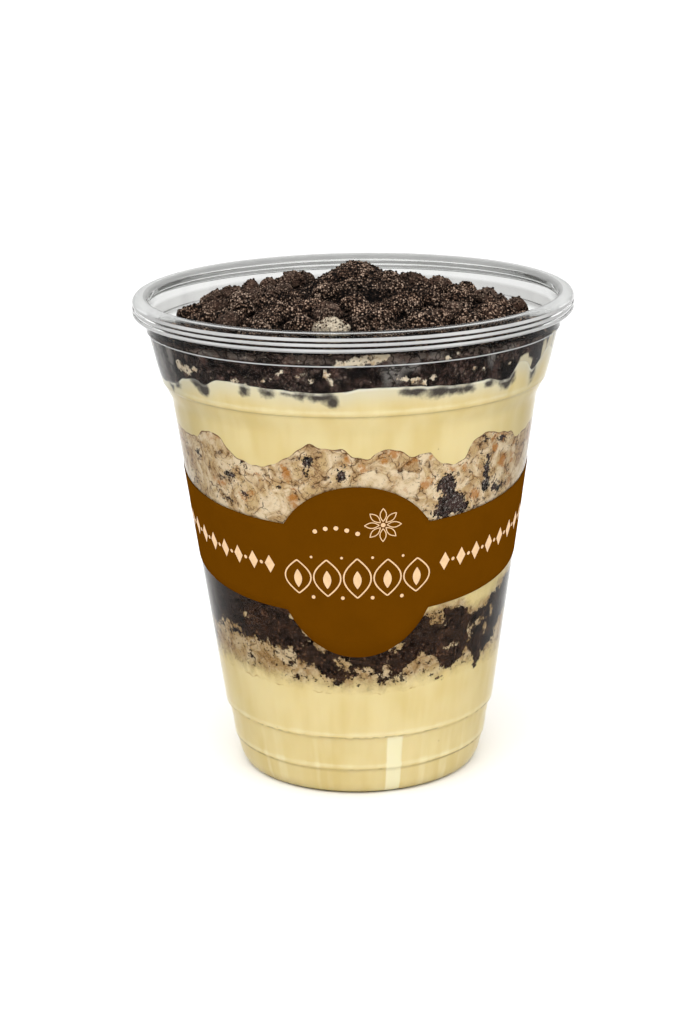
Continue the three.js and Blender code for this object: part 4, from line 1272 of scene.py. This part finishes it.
class DESSERT_OT_heap(Operator):
    """Build the upper cookie layer with its heap of clumps and loose grains"""
    bl_idname = "dessert.heap"
    bl_label = "Crumb heap"

    core_drop = 1.8
    peak_drop = 0.2
    blend = 3.2
    spiral = {"from": 14, "to": 42.6, "count": 72, "narrow": 3.4, "wide": 8.4}
    grain_widths = (0.3, 0.8)
    drop_height = 130.0
    grain_reach = 44.2
    clump_reach = 43.4
    widest = 44.9
    wall_gap = 0.55

    def spiral_places(self, draw, count, narrow, wide):
        """Clumps spread evenly over the heap by a sunflower spiral, clear of its smooth middle."""
        steps = np.arange(count)
        start, end = self.spiral["from"] ** 2, self.spiral["to"] ** 2
        distance = np.sqrt(start + (end - start) * (steps + 0.5) / count)
        bearings = steps * 180 * (3 - math.sqrt(5)) + draw.uniform(-5, 5, count)
        width = narrow + (wide - narrow) * draw.uniform(0, 1, count) ** 1.5
        width = np.where(distance > 35, np.minimum(width, 4.6), width)
        points = place(bearings, np.minimum(distance, self.clump_reach - width / 2), 0.0)
        return np.stack([points[:, 0], points[:, 1], width], 1)

    def merged(self, x, y, places, seed):
        """Height of the heap with clumps softly merged into it, over ground that comes up to the peak."""
        near_peak = np.clip(np.hypot(x, y) / 15, 0, 1)
        ground = heap_level(x, y) - self.peak_drop - (self.core_drop - self.peak_drop) * near_peak**2
        for centre_x, centre_y, width, depth in HOLLOWS:
            ground -= depth * np.exp(-4 * ((x - centre_x) ** 2 + (y - centre_y) ** 2) / width**2)
        points = np.stack([x, y, ground], 1)
        bent_x = x + 0.9 * grain_noise(points, 3.0, seed, 2)
        bent_y = y + 0.9 * grain_noise(points, 3.0, seed + 1, 2)
        total = np.ones(len(x))
        for centre_x, centre_y, width in places:
            apart = (bent_x - centre_x) ** 2 + (bent_y - centre_y) ** 2
            inside = apart < (width / 2) ** 2
            low = heap_level(np.array(centre_x), np.array(centre_y)) - 0.3 * width
            dome = low + 0.42 * width * np.sqrt(1 - 4 * apart[inside] / width**2)
            total[inside] += np.exp(self.blend * (dome - ground[inside]))
        return ground + np.log(total) / self.blend

    def core(self, settings, filling, cup, draw):
        """The layer's body from the cream up to the heap's surface, with its merged clumps and relief."""
        lower = edge_surface(CREAM_UPPER_TOP, CREAM_UPPER_RAGGED, 6)
        inset = (cup.wall - cup.bite) / MM
        top_rings = tuple(np.linspace(0, 1, 96))
        side_rows = 18
        profile = [(ring, 0) for ring in (0, 0.35, 0.7, 0.9, 1)]
        profile += [(1, row / side_rows) for row in range(1, side_rows)]
        profile += [(ring, 1) for ring in reversed(top_rings)]
        mesh = to_mesh("heap_core", turned(profile, filling.segments))
        blank = read_points(mesh)
        reach = np.hypot(blank[:, 0], blank[:, 1])
        bearings = bearings_of(blank)
        flat = place(bearings, reach * HEAP_WALL["distance"], 0.0)
        top = heap_level(flat[:, 0], flat[:, 1]) - self.core_drop * 0.3
        loose = (blank[:, 2] > 0.999) & (reach < 0.985)
        places = [*MERGED_CLUMPS, *self.spiral_places(
            draw, self.spiral["count"], self.spiral["narrow"], self.spiral["wide"])]
        top[loose] = self.merged(flat[loose, 0], flat[loose, 1], places, settings.seed)
        bottom = lower(bearings, reach)
        heights = bottom + (top - bottom) * blank[:, 2]
        points = place(bearings, reach * (outer_radius(heights) - inset), heights)
        calm = 0.55 + 0.45 * np.clip(np.hypot(points[loose, 0], points[loose, 1]) / 14 - 0.4, 0, 1)
        relief = 0.5 * grain_noise(points[loose], 2.4, settings.seed)
        relief += 0.3 * knob_noise(points[loose], 1.1, 3)
        points[loose, 2] += relief * calm
        write_points(mesh, points)
        set_attribute(mesh, "tone", 0.6 + 0.5 * grain_noise(points, 6.0, 9))
        # How far a point stands out of the crevices, which sets the painted crevice shade
        set_attribute(mesh, "shade", self.raised(points, 1.1))
        # Patches of painted grey sheen and dust on the collar
        set_attribute(mesh, "haze", patch_depth(points, COLLAR_SHEEN_AND_DUST))
        set_attribute(mesh, "pale", patch_depth(points, COLLAR_PALE))
        set_attribute(mesh, "creamy", patch_depth(points, COLLAR_CREAM))
        return mesh

    def raised(self, points, below):
        """How far points stand out of the crevices: 0 at the depth below the heap's surface, 1 on it."""
        over = points[:, 2] - heap_level(points[:, 0], points[:, 1])
        return np.clip(1 + over / below, 0, 1)

    def clumps(self, name, places, draw, seed, detail=4, tones=(0.0, 0.8), flatness=(0.8, 1.0), rough=1.0):
        """Rough lumps at (x, y, width, rise) places, each sunk into the heap's surface."""
        places = np.array(places, float)
        x, y, width, rise = places.T
        flat = draw.uniform(*flatness, len(places))
        sizes = np.stack([width / 2 * draw.uniform(0.88, 1.14, len(places)), width / 2, width / 2 * flat], 1)
        angle = draw.uniform(-0.5, 0.5, len(places))
        turns = np.zeros((len(places), 3, 3))
        turns[:, 0, 0] = turns[:, 1, 1] = np.cos(angle)
        turns[:, 0, 1], turns[:, 1, 0] = -np.sin(angle), np.sin(angle)
        turns[:, 2, 2] = 1
        centres = np.stack([x, y, heap_level(x, y) + rise], 1)
        template = ball(detail)
        points, faces = joined(template, sizes, turns, centres)
        count = len(template.vertices)
        owner = np.repeat(np.arange(len(places)), count)
        outward = points - centres[owner]
        outward /= np.linalg.norm(outward, axis=1)[:, None]
        big = grain_noise(points, 3.2, seed, 2)
        knobs = knob_noise(points, 0.9, seed)
        push = 0.1 * big * width[owner] + rough * (0.2 * knobs + 0.1 * grain_noise(points, 0.6, seed + 5, 2))
        points += outward * push[:, None]
        mesh = mesh_from_arrays(name, self.within(points), faces)
        set_attribute(mesh, "tone", np.repeat(draw.uniform(*tones, len(places)), count))
        # Lower edges of the clumps get painted crevice shade
        set_attribute(mesh, "shade", self.raised(points, 0.9))
        set_attribute(mesh, "smooth", np.full(len(points), 1 - rough))
        return mesh

    def within(self, points):
        """Keeps loose pieces off the cup's wall."""
        distance = np.hypot(points[:, 0], points[:, 1])
        inside = outer_radius(np.minimum(points[:, 2], HEAP_WALL["front"])) - self.wall_gap
        limit = np.minimum(inside, self.widest)
        share = np.minimum(1, limit / np.maximum(distance, 1e-6))
        points[:, :2] *= share[:, None]
        return points

    def grains(self, settings, draw, meshes):
        """Loose grains dropped on the heap, each resting where it lands."""
        points, faces = [], []
        for mesh in meshes:
            start = sum(len(part) for part in points)
            points.append(read_points(mesh))
            faces += [[start + index for index in face.vertices] for face in mesh.polygons]
        ground = BVHTree.FromPolygons(np.concatenate(points).tolist(), faces)
        count = settings.grains
        distance = self.grain_reach * np.sqrt(draw.uniform(0, 1, count))
        drops = place(draw.uniform(0, 360, count), distance, self.drop_height)
        narrow, wide = self.grain_widths
        widths = narrow + (wide - narrow) * draw.uniform(0, 1, count) ** 3
        centres = []
        for drop, width in zip(drops, widths):
            spot, normal, _, _ = ground.ray_cast(Vector(drop), Vector((0, 0, -1)))
            centres.append(spot + normal * 0.12 * width if spot is not None else Vector((0, 0, 100)))
        sizes = widths[:, None] / 2 * draw.uniform(0.7, 1.25, (count, 3))
        template = ball(1)
        points, faces = joined(template, sizes, random_turns(draw, count), np.array(centres))
        mesh = mesh_from_arrays("heap_grains", self.within(points), faces)
        set_attribute(mesh, "tone", np.repeat(draw.uniform(0, 1, count), len(template.vertices)))
        # Random painted shade for each grain
        set_attribute(mesh, "shade", np.repeat(draw.uniform(0.3, 1, count), len(template.vertices)))
        return mesh

    def execute(self, context):
        dessert = context.scene.dessert
        settings = dessert.heap
        draw = np.random.default_rng(settings.seed)
        core = self.core(settings, dessert.filling, dessert.cup, draw)
        large = self.clumps("heap_smooth_clumps", SMOOTH_CLUMPS, draw, 21, tones=(0, 1), rough=0.25)
        grainy = self.clumps("heap_grainy_clumps", GRAINY_CLUMPS, draw, 26, tones=(0.3, 1))
        dusted = self.clumps("heap_dusted_clumps", DUSTED_CLUMPS, draw, 24, tones=(1.4, 1.8), rough=0.7)
        small_places = self.spiral_places(draw, settings.small_clumps, 1.4, 3.4)
        small_places = np.column_stack([small_places, -0.2 * small_places[:, 2]])
        small = self.clumps("heap_small_clumps", small_places, draw, 22, detail=3)
        pale = self.clumps("heap_pale_clumps", PALE_CLUMPS, draw, 23, flatness=(0.4, 0.45))
        grains = self.grains(settings, draw, (core, large, grainy, dusted, small, pale))
        crumbs = crumb_material(settings)
        centres = face_centres(core)
        side = np.hypot(centres[:, 0], centres[:, 1]) > outer_radius(centres[:, 2]) - 0.36
        collar = collar_material(dessert.filling, settings)
        finished(core.name, core, [crumbs, collar], "cookie", "cookie_heap", second=side)
        for mesh in (large, grainy, dusted, small, grains):
            finished(mesh.name, mesh, [crumbs], "cookie", "cookie_heap", smooth=mesh is not grains)
        finished(pale.name, pale, [pale_material(settings)], "sponge", "cookie_heap")
        return {"FINISHED"}


class DESSERT_OT_studio(Operator):
    """Set up the pale floor, the soft lights and the camera"""
    bl_idname = "dessert.studio"
    bl_label = "Studio"

    floor_size = 12.0

    def softbox(self, name, power, size, centre, target=(0, 0, 0.07)):
        light = bpy.data.lights.new(name, "AREA")
        light.shape = "RECTANGLE"
        light.size, light.size_y = size
        light.energy = power
        lamp = bpy.data.objects.new(name, light)
        lamp.location = centre
        lamp.rotation_euler = (Vector(target) - Vector(centre)).to_track_quat("-Z", "Y").to_euler()
        bpy.context.scene.collection.objects.link(lamp)

    def camera(self):
        pitch, yaw, roll = (math.radians(value) for value in (CAMERA_PITCH, CAMERA_YAW, CAMERA_ROLL))
        forward = Vector((math.sin(yaw) * math.cos(pitch), math.cos(yaw) * math.cos(pitch), -math.sin(pitch)))
        level = Vector((math.cos(yaw), -math.sin(yaw), 0))
        upright = level.cross(forward)
        right = level * math.cos(roll) + upright * math.sin(roll)
        up = upright * math.cos(roll) - level * math.sin(roll)
        data = bpy.data.cameras.new("camera")
        data.lens = CAMERA_LENS
        data.sensor_width = SENSOR
        data.clip_start = 0.01
        camera = bpy.data.objects.new("camera", data)
        turn = Matrix((right, up, -forward)).transposed()
        place_at = Vector((0, -CAMERA_DISTANCE, CAMERA_HEIGHT)) * MM
        camera.matrix_world = Matrix.Translation(place_at) @ turn.to_4x4()
        bpy.context.scene.collection.objects.link(camera)
        bpy.context.scene.camera = camera

    def execute(self, context):
        settings = context.scene.dessert.studio
        shape = bmesh.new()
        bmesh.ops.create_grid(shape, x_segments=8, y_segments=8, size=self.floor_size / 2)
        floor = bpy.data.objects.new("floor", to_mesh("floor", shape))
        floor.data.materials.append(floor_material(settings))
        context.scene.collection.objects.link(floor)
        world = bpy.data.worlds.new("studio")
        world.use_nodes = True
        tree = world.node_tree
        background = tree.nodes["Background"]
        background.inputs["Color"].default_value = (1, 1, 1, 1)
        direction = tree.nodes.new("ShaderNodeSeparateXYZ")
        tree.links.new(tree.nodes.new("ShaderNodeTexCoord").outputs["Generated"], direction.inputs[0])
        rising = tree.nodes.new("ShaderNodeMapRange")
        span = {"From Min": 0.12, "From Max": 0.5, "To Min": settings.horizon, "To Max": settings.sky}
        for key, value in span.items():
            rising.inputs[key].default_value = value
        tree.links.new(direction.outputs["Z"], rising.inputs["Value"])
        tree.links.new(rising.outputs[0], background.inputs["Strength"])
        context.scene.world = world
        self.softbox("key_softbox", settings.key, (0.8, 0.8), (-0.08, -0.4, 0.9))
        self.softbox("side_softbox", settings.key * 0.2, (0.5, 0.8), (0.75, -0.6, 0.4))
        self.camera()
        context.scene.view_settings.view_transform = "Standard"
        return {"FINISHED"}


class DESSERT_PT_sidebar(Panel):
    """Sizes, colours and building steps of the dessert"""
    bl_idname = "DESSERT_PT_sidebar"
    bl_label = "Layered Dessert"
    bl_space_type = "VIEW_3D"
    bl_region_type = "UI"
    bl_category = "Dessert"

    def draw(self, context):
        dessert = context.scene.dessert
        for name, operator in BUILD_STEPS:
            box = self.layout.box()
            box.operator(operator)
            settings = getattr(dessert, name)
            for key in settings.bl_rna.properties.keys():
                if key not in ("rna_type", "name"):
                    box.prop(settings, key)


BUILD_STEPS = (
    ("studio", "dessert.studio"),
    ("cup", "dessert.cup"),
    ("label", "dessert.label"),
    ("filling", "dessert.layers"),
    ("heap", "dessert.heap"),
)

CLASSES = (
    CupSettings, LabelSettings, FillingSettings, HeapSettings, StudioSettings, DessertSettings,
    DESSERT_OT_cup, DESSERT_OT_label, DESSERT_OT_layers, DESSERT_OT_heap, DESSERT_OT_studio,
    DESSERT_PT_sidebar,
)


def register():
    for each in CLASSES:
        bpy.utils.register_class(each)
    bpy.types.Scene.dessert = PointerProperty(type=DessertSettings)


def unregister():
    del bpy.types.Scene.dessert
    for each in reversed(CLASSES):
        bpy.utils.unregister_class(each)


def main():
    register()
    bpy.ops.dessert.studio()
    bpy.ops.dessert.cup()
    bpy.ops.dessert.label()
    bpy.ops.dessert.layers()
    bpy.ops.dessert.heap()


if __name__ == "__main__":
    main()
